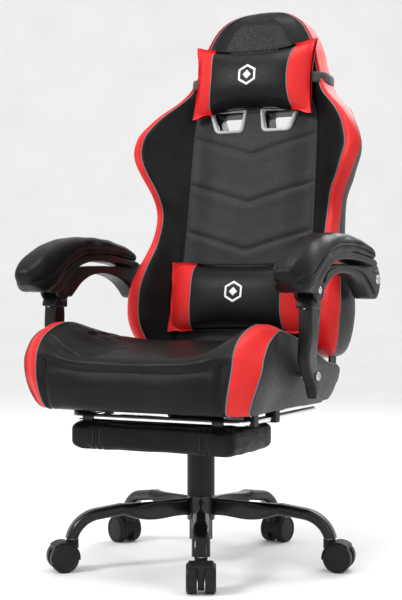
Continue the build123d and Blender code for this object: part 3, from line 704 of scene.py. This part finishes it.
def cut_slots(skin):
    """Cut both harness slots through the cover, front to rear."""
    for side in SIDES.values():
        outline = rounded(slot_corners(side, 0.5), 7)
        rings = [[back_point(x, u, f) for x, u in outline] for f in (-90, 60)]
        cutter = loft("slot_cutter", rings, [BLACK_LEATHER])
        change = skin.modifiers.new("slot", "BOOLEAN")
        change.object = cutter
        change.operation = "DIFFERENCE"
        change.solver = "EXACT"
        apply_modifiers(skin)
        bpy.data.objects.remove(cutter)
    skin.data.polygons.foreach_set("use_smooth", [True] * len(skin.data.polygons))


# (how far outside the slot, how far in front of the slab) round the rim's section
RIM_SECTION = [
    (-1.0, 2), (-0.6, 10), (0.6, 13.8), (2.5, 15.2), (4.6, 15.2), (6.4, 13.8), (7.2, 11), (7.0, 4), (3, 0),
]


def slot_rim(side, side_name):
    """A moulded bezel with a rounded lip and a short sleeve into the slot."""
    rings = []
    for grow, lift in RIM_SECTION:
        outline = rounded(slot_corners(side, grow), 7 + max(grow, 0) * 0.8)
        rings.append([back_point(x, u, lift) for x, u in outline])
    rings.append(rings[0])
    return loft(f"slot_rim_{side_name}", rings, [BEZEL], caps=False)


backrest, back_rows = back_skin()
cut_slots(backrest)
soft(backrest, "backrest", ["back_cushion", "back_bolster_left", "back_bolster_right"])
for side_name, side in SIDES.items():
    rim = trim(slot_rim(side, side_name), "backrest")
    if side > 0:
        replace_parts(rim, "slot_bezels")

flip = np.array([-1, 1, 1])
red_line = [row[SEAM_RED] + 0.0006 * BACK_FORWARD for row in back_rows[1:]]
piping("backrest_piping_front", red_line + [p * flip for p in red_line[::-1]], "backrest")
for side_name, side in SIDES.items():
    mirror = np.array([side, 1, 1])
    side_line = [row[SEAM_SIDE] * mirror for (w, u), row in zip(BACK_EDGE, back_rows) if 8 < u < 600]
    piping(f"backrest_piping_side_{side_name}", side_line, "backrest")


# ---- seat ---------------------------------------------------------------------------------
SEAT_BOTTOM = 347
SEAT_STEPS = (10, 4, 4, 3, 2, 3, 3, 6, 8, 8, 6, 5, 3, 4, 4)
# the seat's side profile as (y, z), in its middle and at the crest of a bolster
SEAT_CENTRE = [
    (196, SEAT_BOTTOM), (-284, SEAT_BOTTOM), (-311, 357), (-323, 392), (-319, 423), (-317, 432),
    (-322, 444), (-309, 457),
    (-286, 452), (-200, 466), (-60, 477), (80, 476), (150, 459), (192, 428), (207, 390),
]
SEAT_BOLSTER = [
    (196, SEAT_BOTTOM), (-284, SEAT_BOTTOM), (-307, 357), (-318, 392), (-316, 430), (-312, 452),
    (-309, 466), (-298, 484),
    (-274, 503), (-200, 524), (-110, 511), (0, 478), (100, 443), (192, 425), (206, 388),
]
SEAT_ROWS = [
    0, 20, 40, 60, 80, 100, 118, 134, 148, 160, 171, 181, 190, 199, 208, 216, 223, 231, 239, 247, 255, 262,
    268, 272.5,
]
ROW_RED = SEAT_ROWS.index(223)
FRONT_FIRST = SEAT_STEPS[0]
FRONT_REACH = 214
LOOP_ROLL = sum(SEAT_STEPS[:5])
LOOP_STITCH = sum(SEAT_STEPS[:8])


def seat_loop(x, shrink=1.0):
    """The seat's closed side profile at x millimetres from the middle."""
    raise_up = float(smoothstep(x, 105, 232))
    recede = 6 * float(smoothstep(x, 165, 225)) + 30 * float(smoothstep(x, 228, 273))
    drop = 12 * float(smoothstep(x, 244, 273))
    points = []
    for (y0, z0), (y1, z1) in zip(SEAT_CENTRE, SEAT_BOLSTER):
        y = y0 + (y1 - y0) * raise_up
        z = z0 + (z1 - z0) * raise_up ** 1.2
        front = np.clip((-150 - y) / 150, 0, 1)
        y += recede * front
        z -= drop * np.clip((z - 360) / 120, 0, 1)
        points.append((y, z))
    line = through(points, SEAT_STEPS, closed=True)
    line[:, 1] = np.maximum(line[:, 1], SEAT_BOTTOM)
    if shrink < 1:
        middle = np.array([-40, 420])
        line = middle + (line - middle) * shrink
        line[:, 1] = np.maximum(line[:, 1], SEAT_BOTTOM + 0.5)
    return line


# how far a side reaches from the middle, along the seat's depth
side_reach = profile((-330, 273), (-225, 273), (-150, 264), (-20, 264), (100, 258), (212, 250))


def seat_width(x, y, z):
    """The sides lean in towards the bottom, and leave room for the armrest levers."""
    lean = 0.13 * float(smoothstep(x, 150, 272))
    low = np.clip((447 - z) / 100, 0, 1)
    outer = float(smoothstep(x, 180, 272))
    return x * (1 - lean * low**1.5) * (1 - outer * (1 - side_reach(y) / 273))


def seat_ring(x, shrink=1.0, out=0.0):
    """The profile at x as points of the seat's left half, in metres."""
    return [((seat_width(x, y, z) + out) * MM, y * MM, z * MM) for y, z in seat_loop(x, shrink)]


def seat_skin():
    """The whole bucket seat as one sewn cover: top panel, front roll, bolsters and side panels."""
    half = [seat_ring(x) for x in SEAT_ROWS]
    # the side panel closes each end inside the outer seam
    sides = [(0.985, 1.2), (0.95, 1.5), (0.86, 2.0), (0.7, 1.5), (0.45, 0.5), (0.15, 0)]
    half += [seat_ring(SEAT_ROWS[-1], shrink, out) for shrink, out in sides]
    flipped = [[(-x, y, z) for x, y, z in ring] for ring in half[1:]]
    rings = flipped[::-1] + half
    middle = len(flipped)

    def pick(row, column):
        distance = row - middle if row >= middle else middle - 1 - row
        return int(ROW_RED <= distance < len(SEAT_ROWS) - 1 and column >= FRONT_FIRST)

    skin = loft("seat_cover", [np.array(r) for r in rings], [BLACK_LEATHER, RED_LEATHER], pick)
    subdivide(skin)

    def sew(co, normal):
        x, y, z = np.abs(co[:, 0]) / MM, co[:, 1] / MM, co[:, 2] / MM
        depth = np.zeros(len(co))
        top = normal[:, 2] > 0.25
        front = (normal[:, 1] < -0.35) & (y < -150)
        # the fold at each front corner of the lower panel
        fold = 196 + (z - 350) * 0.05
        depth += np.where(front & (z < 452), -4.5 * ridge(x - fold, 5), 0)
        depth += np.where(front & (z < 452), 2.0 * ridge(x - fold + 13, 8), 0)
        # seams between the seating panel and the bolsters
        seam = x - (172 + 10 * smoothstep(y, -250, 100))
        depth += np.where(top & (y > -185), -4.0 * ridge(seam, 4.5), 0)
        # soft wrinkles that spread from the bolsters over the seating panel
        spread = ridge(x - 150, 45) * ridge(y + 170, 90)
        side = np.where(co[:, 0] < 0, 1.0, 0.55)
        depth += np.where(top, 2.0 * side * spread * np.sin(0.115 * y + 0.07 * x + 1.3 * np.sin(0.03 * x)), 0)
        broad = np.sin(0.021 * x + 0.017 * y + 1) * np.sin(0.026 * y - 0.4)
        depth += np.where(top, 1.6 * broad * (x < 190), 0)
        # faint sag folds on the lower front panel
        depth += np.where(front & (z < 430), 0.7 * np.sin(0.11 * z + 0.9 * np.sin(0.03 * x)), 0)
        return co + normal * (depth * MM)[:, None]

    displace(skin, sew)
    return skin, half


seat, seat_half = seat_skin()
soft(seat, "seat", ["seat_cushion", "seat_bolster_left", "seat_bolster_right"])
for side_name, side in SIDES.items():
    mirror = np.array([side, 1, 1])
    for row, label in ((ROW_RED, "inner"), (len(SEAT_ROWS) - 1, "outer")):
        ring = [np.array(p) * mirror for p in seat_half[row][FRONT_FIRST:-3]]
        piping(f"seat_piping_{label}_{side_name}", ring, "seat")


def seat_line(loop_index, lift):
    """A line of points across the seat's front at one place of its profile."""
    points = []
    for x in np.linspace(-FRONT_REACH, FRONT_REACH, 91):
        y, z = seat_loop(abs(x))[loop_index]
        points.append((seat_width(abs(x), y, z) * np.sign(x) * MM, (y - 0.2) * MM, (z + lift) * MM))
    return np.array(points)


stitch_out = np.tile(np.array([0, -0.45, 0.9]), (91, 1))
stitch_line = np.array([on_surface(seat, point, stitch_out[0]) for point in seat_line(LOOP_STITCH, 1.0)])
front_row = stitches("seat_front_stitches", stitch_line, GREY_THREAD, stitch_out, 0.0066, 0.0044, 0.0009)
trim(front_row, "seat")
roll_line = [on_surface(seat, point, (0, -1, 0.2)) for point in seat_line(LOOP_ROLL, 0)]
trim(cord_of("seat_roll_welt", roll_line, 0.0011, BLACK_LEATHER), "seat")


# ---- pillows ------------------------------------------------------------------------------
def pillow(node, centre_u, half_width, half_height, ear, thickness, base, black_share, tuck):
    """A stuffed pillow with flared ends: black middle, red ends, piping at both seams.

    ear is how much taller the ends are, and tuck is how far the ends' middles are drawn in."""
    name = f"{node}_cover"
    across, high = 56, 34

    def place(s, t, front):
        x = s * half_width * (1 - tuck * (1 - abs(t) ** 2.0))
        u = centre_u + t * (half_height + ear * abs(s) ** 2.2)
        fullness = (1 - abs(s) ** 3.2) ** 0.55 * (1 - abs(t) ** 2.6) ** 0.6
        f = base + thickness * (0.30 + (0.70 if front else -0.30) * fullness)
        wrap = -10 * (abs(s) ** 4)
        return back_point(x, u, f + wrap * (0.4 if front else 0.2))

    def spaced(k, n):
        t = -1 + 2 * k / n
        return math.copysign(abs(math.sin(t * math.pi / 2)) ** 0.95, t)

    verts, faces, indices = [], [], []
    s_values = [spaced(i, across) for i in range(across + 1)]
    nearest = min(range(across // 2, across + 1), key=lambda i: abs(s_values[i] - black_share))
    s_values[nearest], s_values[across - nearest] = black_share, -black_share
    for front in (True, False):
        first = len(verts)
        for s in s_values:
            for j in range(high + 1):
                verts.append(place(s, spaced(j, high), front))
        for i in range(across):
            for j in range(high):
                a = first + i * (high + 1) + j
                quad = (a, a + high + 1, a + high + 2, a + 1)
                faces.append(quad if front else quad[::-1])
                indices.append(0 if across - nearest <= i < nearest else 1)
    piece = mesh_piece(name, verts, faces, [BLACK_LEATHER, RED_LEATHER], indices)
    seam_x = half_width * black_share

    def pull(co, normal):
        local = co - BACK_ORIGIN
        x = np.abs(local[:, 0]) / MM
        u = local @ BACK_UP / MM - centre_u
        front = normal @ BACK_FORWARD > 0.1
        reach = seam_x * (1 - tuck * (1 - np.clip(np.abs(u) / half_height, 0, 1) ** 2))
        depth = np.where(front, -2.6 * ridge(x - reach, 5), 0)
        edge = np.clip(np.abs(u) / half_height, 0, 1)
        depth += np.where(front, 0.9 * np.sin(0.16 * x + 1.1 * np.sin(0.05 * u)) * edge**3, 0)
        depth += np.where(front & (x > seam_x), 1.0 * np.sin(0.11 * u + 0.1 * x), 0)
        return co + normal * (depth * MM)[:, None]

    inflate(piece, 4.0, 0.006)
    subdivide(piece)
    displace(piece, pull)
    soft(piece, "backrest", [node])
    for side_name, side in SIDES.items():
        line = []
        for t in np.linspace(-1, 1, 40):
            x = side * seam_x * (1 - tuck * (1 - t * t))
            line.append(surface_point(piece, x, centre_u + t * half_height * 0.985))
        piping(f"{name}_piping_{side_name}", line, "backrest", 0.0012)
    rim = [place(s, t, True) for s, t in rim_path()]
    welt = cord_of(f"{name}_edge_welt", rim, 0.0016, BLACK_LEATHER, closed=True)
    trim(welt, "backrest")
    return piece


def rim_path():
    """The pillow's outer edge as (s, t) pairs, all the way round."""
    steps = [k / 24 for k in range(-24, 24)]
    bottom = [(s, -1) for s in steps]
    right = [(1, t) for t in steps]
    top = [(-s, 1) for s in steps]
    left = [(-1, -t) for t in steps]
    return bottom + right + top + left


def surface_point(piece, x, u):
    """Where a line at (x, u) on the back's plane meets the front of a piece."""
    start = Vector(back_point(x, u, 200))
    hit, where, normal, face = piece.ray_cast(start, Vector(-BACK_FORWARD))
    return np.array(where) if hit else back_point(x, u, 30)


def inflate(piece, pressure, cap):
    """Let cloth under pressure fill a padded piece, with no point moved further than cap."""
    before = np.zeros(len(piece.data.vertices) * 3)
    piece.data.vertices.foreach_get("co", before)
    before = before.reshape(-1, 3)
    cloth = piece.modifiers.new("cloth", "CLOTH")
    settings = cloth.settings
    settings.quality = 5
    settings.mass = 0.3
    settings.tension_stiffness = 25
    settings.compression_stiffness = 25
    settings.shear_stiffness = 12
    settings.bending_stiffness = 0.6
    settings.use_pressure = True
    settings.uniform_pressure_force = pressure
    settings.effector_weights.gravity = 0
    settings.shrink_min = -0.015
    cloth.collision_settings.use_collision = False
    scene = bpy.context.scene
    for step in range(1, 21):
        scene.frame_set(step)
    apply_modifiers(piece)
    scene.frame_set(1)

    def limit(co, normal):
        move = co - before
        far = np.linalg.norm(move, axis=1, keepdims=True)
        return before + move * np.minimum(1, cap / np.maximum(far, 1e-9))

    if len(piece.data.vertices) == len(before):
        displace(piece, limit)


def emblem(name, piece, centre_u):
    """A plain printed mark: a hexagon ring round a small diamond, laid on a pillow's front."""
    size = 25
    verts, faces = [], []

    def band(outer, inner, corners):
        per_side = 6
        first = len(verts)
        for radius in (outer, inner):
            corner = [radius * np.array([math.sin(q), math.cos(q)]) for q in circle(corners)]
            for k in range(corners):
                a, b = corner[k], corner[(k + 1) % corners]
                for t in range(per_side):
                    x, u = a + (b - a) * t / per_side
                    verts.append(surface_point(piece, x, centre_u + u) + 0.0005 * BACK_FORWARD)
        total = corners * per_side
        for k in range(total):
            a, b = first + k, first + (k + 1) % total
            faces.append((a, b, b + total, a + total))

    band(size, size * 0.78, 6)
    band(size * 0.42, size * 0.02, 4)
    mark = mesh_piece(name, verts, faces, [EMBLEM])
    thick = mark.modifiers.new("thick", "SOLIDIFY")
    thick.thickness = 0.0006
    thick.offset = 0
    apply_modifiers(mark)
    trim(mark, "backrest")


HEAD_PILLOW_U = 647
head = pillow("head_pillow", HEAD_PILLOW_U, 155, 70, 19, 62, 5, 0.67, 0.07)
emblem("head_emblem", head, HEAD_PILLOW_U + 3)
lumbar = pillow("lumbar_pillow", 132, 183, 77, 6, 64, 1, 0.64, 0.03)
emblem("lumbar_emblem", lumbar, 140)


def head_band():
    """The elastic strap that holds the head pillow, round the neck of the backrest."""
    width = float(np.interp(HEAD_PILLOW_U, BACK_EDGE[:, 1], BACK_EDGE[:, 0]))
    # (x, distance in front of the slab) from the pillow round the left edge to the rear middle
    half = [(128, 20), (width - 6, 9), (width + 3.5, -8), (width + 3.5, -48), (width - 8, -65), (90, -67.5)]
    path = through(half + [(0, -68)] + [(-x, f) for x, f in half[::-1]], 6)
    # (height, thickness) round the band's section
    section = ((-12.5, 0.0), (-12.5, 1.2), (-6, 1.7), (0, 1.6), (6, 1.7), (12.5, 1.2), (12.5, 0.0), (0, 0.1))
    rings = []
    for i, (x, f) in enumerate(path):
        a, b = path[max(i - 1, 0)], path[min(i + 1, len(path) - 1)]
        along = unit(b - a)
        rings.append(
            [back_point(x - along[1] * d, HEAD_PILLOW_U + du, f + along[0] * d) for du, d in section]
        )
    band = loft("head_strap_band", rings, [STRAP])
    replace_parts(band, "head_strap")
    trim(band, "backrest")


head_band()


# ---- footrest pad -------------------------------------------------------------------------
# how far each of the two seams of a pair is from the pad's middle, in metres
FOOT_SEAMS = (0.118, 0.130)


def footrest():
    """The footrest's pad: a boxed cushion with a pair of seams across it on each side."""
    low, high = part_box("footrest_pad")
    cx, cy, cz = [(a + b) / 2 for a, b in zip(low, high)]
    hx, hy, hz = [(b - a) / 2 - 0.002 for a, b in zip(low, high)]
    rings = []
    ends = [0.915, 0.955, 0.985, 1]
    for s in [-end for end in ends[::-1]] + list(np.linspace(-0.87, 0.87, 45)) + ends:
        edge = min(1.0, (1 - abs(s)) / 0.085)
        grow = math.sqrt(max(1 - (1 - edge) ** 2, 0.0)) if edge < 1 else 1.0
        shrink = 0.013 * (1 - grow)
        outline = squircle(hy - shrink, hz - shrink, 0.24, 64)
        rings.append([(cx + s * hx, cy + y, cz + z) for y, z in outline])
    pad = loft("footrest_cushion", rings, [BLACK_LEATHER])
    inflate(pad, 2.5, 0.004)
    subdivide(pad)

    def sew(co, normal):
        x = np.abs(co[:, 0] - cx)
        depth = np.zeros(len(co))
        for seam in FOOT_SEAMS:
            depth += -0.0026 * ridge(x - seam, 0.0032)
        depth += 0.0012 * ridge(x - sum(FOOT_SEAMS) / 2, 0.02)
        depth += 0.0007 * np.sin(110 * co[:, 1] + 40 * co[:, 0])
        return np.clip(co + normal * depth[:, None], np.array(low) - 0.001, np.array(high) + 0.001)

    displace(pad, sew)
    soft(pad, "footrest_pad", ["footrest_pad"])
    for side_name, side in SIDES.items():
        for k, seam in enumerate(FOOT_SEAMS):
            x = cx + side * (seam + (0.0022 if k else -0.0022))
            front = [(x, low[1] + 0.0012, z) for z in np.linspace(low[2] + 0.010, high[2] - 0.010, 20)]
            out = np.tile(np.array([0, -1.0, 0]), (20, 1))
            row = stitches(f"footrest_stitches_{side_name}_{k + 1}", front, GREY_THREAD, out)
            trim(row, "footrest_pad")


footrest()


# ---- armrests -----------------------------------------------------------------------------
ARM_X = 301
# the arm pad's top, its underside and its half width, along its length
pad_top = profile(
    (-235, 610), (-222, 638), (-190, 664), (-142, 687), (-86, 702), (-20, 708), (50, 706), (120, 697),
    (172, 684), (205, 667),
)
pad_low = profile(
    (-235, 602), (-224, 592), (-200, 586), (-177, 590), (-150, 608), (-120, 632), (-80, 656), (-20, 670),
    (60, 672), (150, 664), (205, 655),
)
pad_half = profile(
    (-235, 11), (-229, 22), (-218, 31), (-195, 38), (-165, 39), (-100, 39), (0, 38), (100, 37), (170, 34),
    (192, 29), (205, 14),
)
PAD_FRONT_ROWS = [-235, -233, -229.5, -224, -216]
PAD_REAR_ROWS = [188, 195, 201, 205]
PAD_STEPS = (3, 3, 3, 4, 4, 6)
PAD_SEAM = sum(PAD_STEPS[:3])


def pad_waist(y):
    """The height of the seam between the pad's top panel and its lower band."""
    return pad_low(y) + max(pad_top(y) - pad_low(y), 4) * 0.42


def arm_cushion(side, side_name):
    """The padded rest: a crowned top panel sewn to a lower band, drooping at its front."""
    body = f"arm_{side_name}"
    rings = []
    for y in PAD_FRONT_ROWS + list(np.linspace(-208, 180, 50)) + PAD_REAR_ROWS:
        top, low, half, waist = pad_top(y), pad_low(y), pad_half(y), pad_waist(y)
        thick = max(top - low, 4)
        slope = (pad_top(y + 4) - pad_top(y - 4)) / 8
        stations = [
            (0, low + 1), (half * 0.72, low + 1), (half * 0.95, low + thick * 0.12), (half, waist),
            (half * 0.93, low + thick * 0.74), (half * 0.62, low + thick * 0.95), (0, top),
        ]
        half_line = through(stations, PAD_STEPS)
        points = [(x, z) for x, z in half_line] + [(-x, z) for x, z in half_line[1:-1][::-1]]
        rings.append(
            [((side * ARM_X + x) * MM, (y - slope * (z - waist) * 0.35) * MM, z * MM) for x, z in points]
        )
    pad = loft(f"arm_cushion_{side_name}", rings, [BLACK_LEATHER])
    inflate(pad, 2.0, 0.003)
    subdivide(pad)

    def sew(co, normal):
        z = co[:, 2] / MM
        y = co[:, 1] / MM
        away = (z - np.array([pad_waist(v) for v in y])) * np.where(np.abs(normal[:, 2]) < 0.85, 1, 50)
        depth = -1.8 * ridge(away, 3.2) + 0.5 * np.sin(0.09 * y + 0.11 * co[:, 0] / MM)
        return co + normal * (depth * MM)[:, None]

    displace(pad, sew)
    soft(pad, body, [f"arm_pad_{side_name}"])
    outer = [ring[PAD_SEAM] for ring in rings[2:-1]]
    inner = [ring[-PAD_SEAM] for ring in rings[2:-1]]
    loop = np.array(outer + inner[::-1])
    welt = cord_of(f"arm_cushion_welt_{side_name}", loop, PIPING_RADIUS, BLACK_LEATHER, closed=True)
    trim(welt, body)
    out = np.array([(np.sign(x - side * ARM_X * MM), 0, 0.3) for x, y, z in loop])
    raised = loop + np.array([0, 0, 0.0042]) + out * 0.0002
    row = stitches(f"arm_cushion_stitches_{side_name}", raised, THREAD, out, 0.0056, 0.0038, 0.0006)
    trim(row, body)


# (y, z) round the side outlines of the arm's beam, of the tray under its pad and of its rib
ARCH = [
    (-100, 588), (-103, 612), (-88, 630), (-58, 637), (-20, 643), (50, 646), (120, 645), (175, 648),
    (215, 653), (246, 648), (264, 630), (270, 608), (262, 586), (246, 572), (222, 571), (200, 573),
    (180, 588), (150, 607), (105, 622), (50, 628), (0, 623), (-42, 606), (-72, 584), (-86, 576),
]
TRAY = [
    (203, 654), (150, 663), (60, 671), (-20, 669), (-80, 655), (-120, 631), (-148, 609), (-172, 596),
    (-178, 590), (-164, 586), (-138, 590), (-106, 614), (-70, 640), (-15, 654), (60, 656), (150, 650),
    (198, 642), (206, 647),
]
RIB = [
    (-70, 606), (-40, 622), (0, 634), (50, 639), (110, 636), (160, 626), (200, 604), (222, 586), (240, 580),
    (252, 590), (250, 606), (236, 620), (205, 632), (160, 640), (110, 643), (50, 642), (-15, 637), (-62, 622),
]
POST_PIVOT = (-116, 592)
BACK_PIVOT = (240, 614)
SEAT_PIVOT = (-50, 415)
# (distance along the axis, radius) of the knuckle's cap, of the rear boss and, in parts of its
# height and radius, of a button-head bolt
KNUCKLE = [
    (0, 0), (0, 20), (0.8, 23.5), (2.5, 25), (6.0, 25), (7.8, 23.8), (8.4, 21), (7.4, 17), (7.4, 12),
    (8.2, 11), (8.2, 0),
]
BOSS = [(0, 21), (3, 20.5), (4.8, 18), (4.8, 13.5), (3, 12.5), (3, 0)]
BOLT = [(0, 1), (0.35, 1), (0.75, 0.82), (1, 0.5), (1, 0.36), (0.45, 0.34), (0.45, 0)]


def washer_bolt(name, side, x, pivot, radius, head, body):
    """A button-head bolt with a round recess, its axis across the chair."""
    outline = [(a * head, r * radius) for a, r in BOLT]
    trim(lathe(name, (side * x, *pivot), (side, 0, 0), outline, STEEL), body)


def moulding(name, outline, side, x0, x1, bevel, body):
    """A moulded plate of the armrest between x0 and x1, by its side outline."""
    return trim(slab(name, outline, side * x0, side * x1, bevel, ARM_PLASTIC), body)


def arm_shell(side, side_name):
    """The moulded arm: arched beam with a raised rib, tray under the pad, knuckle and boss."""
    body = f"arm_{side_name}"
    arch, rib, tray = [through(outline, 4, closed=True) for outline in (ARCH, RIB, TRAY)]
    beam = moulding(f"arm_beam_{side_name}", arch, side, 277, 315, 3.5, body)
    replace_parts(beam, f"arm_link_{side_name}")
    moulding(f"arm_rib_{side_name}", rib, side, 310, 318.5, 1.6, body)
    moulding(f"arm_tray_{side_name}", tray, side, 269.5, 330.5, 2.5, body)
    turned = [
        ("knuckle_inner", 285.7, POST_PIVOT, -side, KNUCKLE),
        ("knuckle_outer", 316.5, POST_PIVOT, side, KNUCKLE),
        ("boss", 313, BACK_PIVOT, side, BOSS),
    ]
    for label, x, pivot, direction, outline in turned:
        name = f"arm_{label}_{side_name}"
        piece = lathe(name, (side * x, *pivot), (direction, 0, 0), outline, ARM_PLASTIC)
        trim(piece, body)
    washer_bolt(f"arm_front_bolt_{side_name}", side, 324, POST_PIVOT, 7.5, 4, body)
    # the two webs that join the tray to the beam
    for k, (y, z, tall) in enumerate(((-84, 641, 22), (168, 650, 12))):
        low, high = z - tall / 2, z + tall / 2
        corners = [(y - 12, low), (y + 12, low + 5), (y + 12, high), (y - 12, high - 5)]
        moulding(f"arm_web_{side_name}_{k + 1}", rounded(corners, 3), side, 284, 309, 2, body)


# (z, y, half depth, x, half width) of the post's section, from its top to its foot
POST_LEVER = [
    (598, -116, 3, ARM_X, 13), (591, -116, 9, ARM_X, 14), (580, -116, 12, ARM_X, 15),
    (570, -116, 16, ARM_X, 15), (556, -117, 19, ARM_X, 15), (540, -117, 21, ARM_X, 15),
    (505, -117, 21, ARM_X, 15),
    (480, -112, 21, 297, 14.5), (455, -96, 22, 289, 14), (430, -70, 22, 281.5, 13), (410, -52, 20, 280, 12),
    (390, -43, 14, 280, 12), (376, -44, 8, 280, 11), (369, -46, 3, 280, 9),
]


def post_lever(side, side_name):
    """The steel post that sweeps back into a flat leaf at its pivot on the seat."""
    rings = []
    for z, y, half_y, x, half_x in through(POST_LEVER, 5):
        section = squircle(half_x, half_y, 0.3, 48)
        rings.append([(side * (x + a) * MM, (y + b) * MM, z * MM) for a, b in section])
    lever = loft(f"post_lever_{side_name}", rings, [SATIN_BLACK])
    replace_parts(trim(lever, f"arm_post_{side_name}"), f"arm_post_{side_name}")
    washer_bolt(f"seat_side_bolt_{side_name}", side, 292.4, SEAT_PIVOT, 9.5, 5.5, "seat")


CAP = [(-143, 556), (-91, 553), (-91, 571), (-99, 580), (-128, 582), (-139, 570)]
SCREW = [(0, 4), (1.5, 4), (2.2, 3), (2.2, 0)]


def post_cap(side, side_name):
    """The moulded collar where the steel post enters the arm, with its two screws."""
    body = f"arm_post_{side_name}"
    moulding(f"post_cap_{side_name}", rounded(CAP, 5), side, 283.6, 318.4, 3, body)
    for y in (-139, -97):
        name = f"post_screw_{side_name}_{-y}"
        screw = lathe(name, (side * ARM_X, y, 556), (0, 0, -1), SCREW, STEEL, 16)
        trim(screw, body)


for side_name, side in SIDES.items():
    arm_cushion(side, side_name)
    arm_shell(side, side_name)
    post_lever(side, side_name)
    post_cap(side, side_name)


# ---- tilt spring --------------------------------------------------------------------------
def spring_coil():
    """The tilt spring's coil, as a copy of its mesh that rides the mechanism; the real spring shortens as the
    seat rocks back onto it.
    """
    cad = frame["nodes"]["tilt_spring"]
    coil = placed("tilt_spring_coil", cad.data.copy())
    trim(coil, "mechanism")
    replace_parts(coil, "tilt_spring")
    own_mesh(coil)


spring_coil()


# ---- camera, light and floor --------------------------------------------------------------
VIEW_TURN = math.radians(27)


def area_light(name, place, target_z, size, power):
    """A rectangular lamp that faces a point on the column's axis."""
    lamp = bpy.data.lights.new(name, "AREA")
    lamp.shape = "RECTANGLE"
    lamp.size, lamp.size_y = size
    lamp.energy = power
    holder = placed(name, lamp)
    holder.location = place
    aim = Vector((0, 0, target_z)) - Vector(place)
    holder.rotation_euler = aim.to_track_quat("-Z", "Y").to_euler()


def studio():
    """Soft studio light, and a pale floor that sweeps up into a far backdrop."""
    area_light("key", (-1.6, -2.6, 2.6), 0.7, (0.9, 0.9), 75)
    area_light("fill", (2.8, -1.2, 1.8), 0.6, (1.0, 1.6), 12)
    area_light("rim", (0.6, 2.6, 2.2), 0.8, (2.0, 1.2), 40)
    area_light("top", (0.0, -0.4, 3.2), 0.5, (1.2, 1.2), 46)
    world = bpy.data.worlds.new("studio")
    world.use_nodes = True
    background = world.node_tree.nodes["Background"].inputs
    background["Color"].default_value = (1, 1, 1, 1)
    background["Strength"].default_value = 0.85
    bpy.context.scene.world = world
    floor_end, bend_radius, half_width = 5, 3, 12
    # (distance, height) of the floor, its bend and the upright backdrop
    run = [(-9, 0), (floor_end, 0)]
    for angle in np.linspace(0, math.pi / 2, 13)[1:]:
        run.append((floor_end + bend_radius * math.sin(angle), bend_radius * (1 - math.cos(angle))))
    run.append((floor_end + bend_radius, 9))
    verts = []
    c, s = math.cos(VIEW_TURN), math.sin(VIEW_TURN)
    for far, high in run:
        for across in (-half_width, half_width):
            verts.append((across * c - far * s, across * s + far * c, high))
    mesh = bpy.data.meshes.new("floor")
    faces = [(2 * k, 2 * k + 1, 2 * k + 3, 2 * k + 2) for k in range(len(run) - 1)]
    mesh.from_pydata(verts, [], faces)
    mesh.polygons.foreach_set("use_smooth", [True] * len(faces))
    made, tree, shader, place = material("studio_floor", roughness=0.6)
    tint = ramp(tree, noise(tree, place, 3), grey(0.90), grey(0.93))
    tree.links.new(tint, shader.inputs["Base Color"])
    mesh.materials.append(made)
    placed("floor", mesh)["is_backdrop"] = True


def camera():
    """The camera, low in front of the chair and to its sitter's left, as in the photograph."""
    lens = bpy.data.cameras.new("camera")
    lens.sensor_fit = "VERTICAL"
    lens.sensor_height = 36
    lens.lens = 82.8
    lens.shift_y = -0.025
    holder = placed("camera", lens)
    holder.location = (1.362, -2.673, 0.602)
    holder.rotation_euler = (math.pi / 2, 0, VIEW_TURN)
    bpy.context.scene.camera = holder


studio()
camera()
bpy.context.scene.view_settings.view_transform = "Standard"

low_high = [[list(map(float, corner)) for corner in box] for box in (CAD_BOX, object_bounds())]
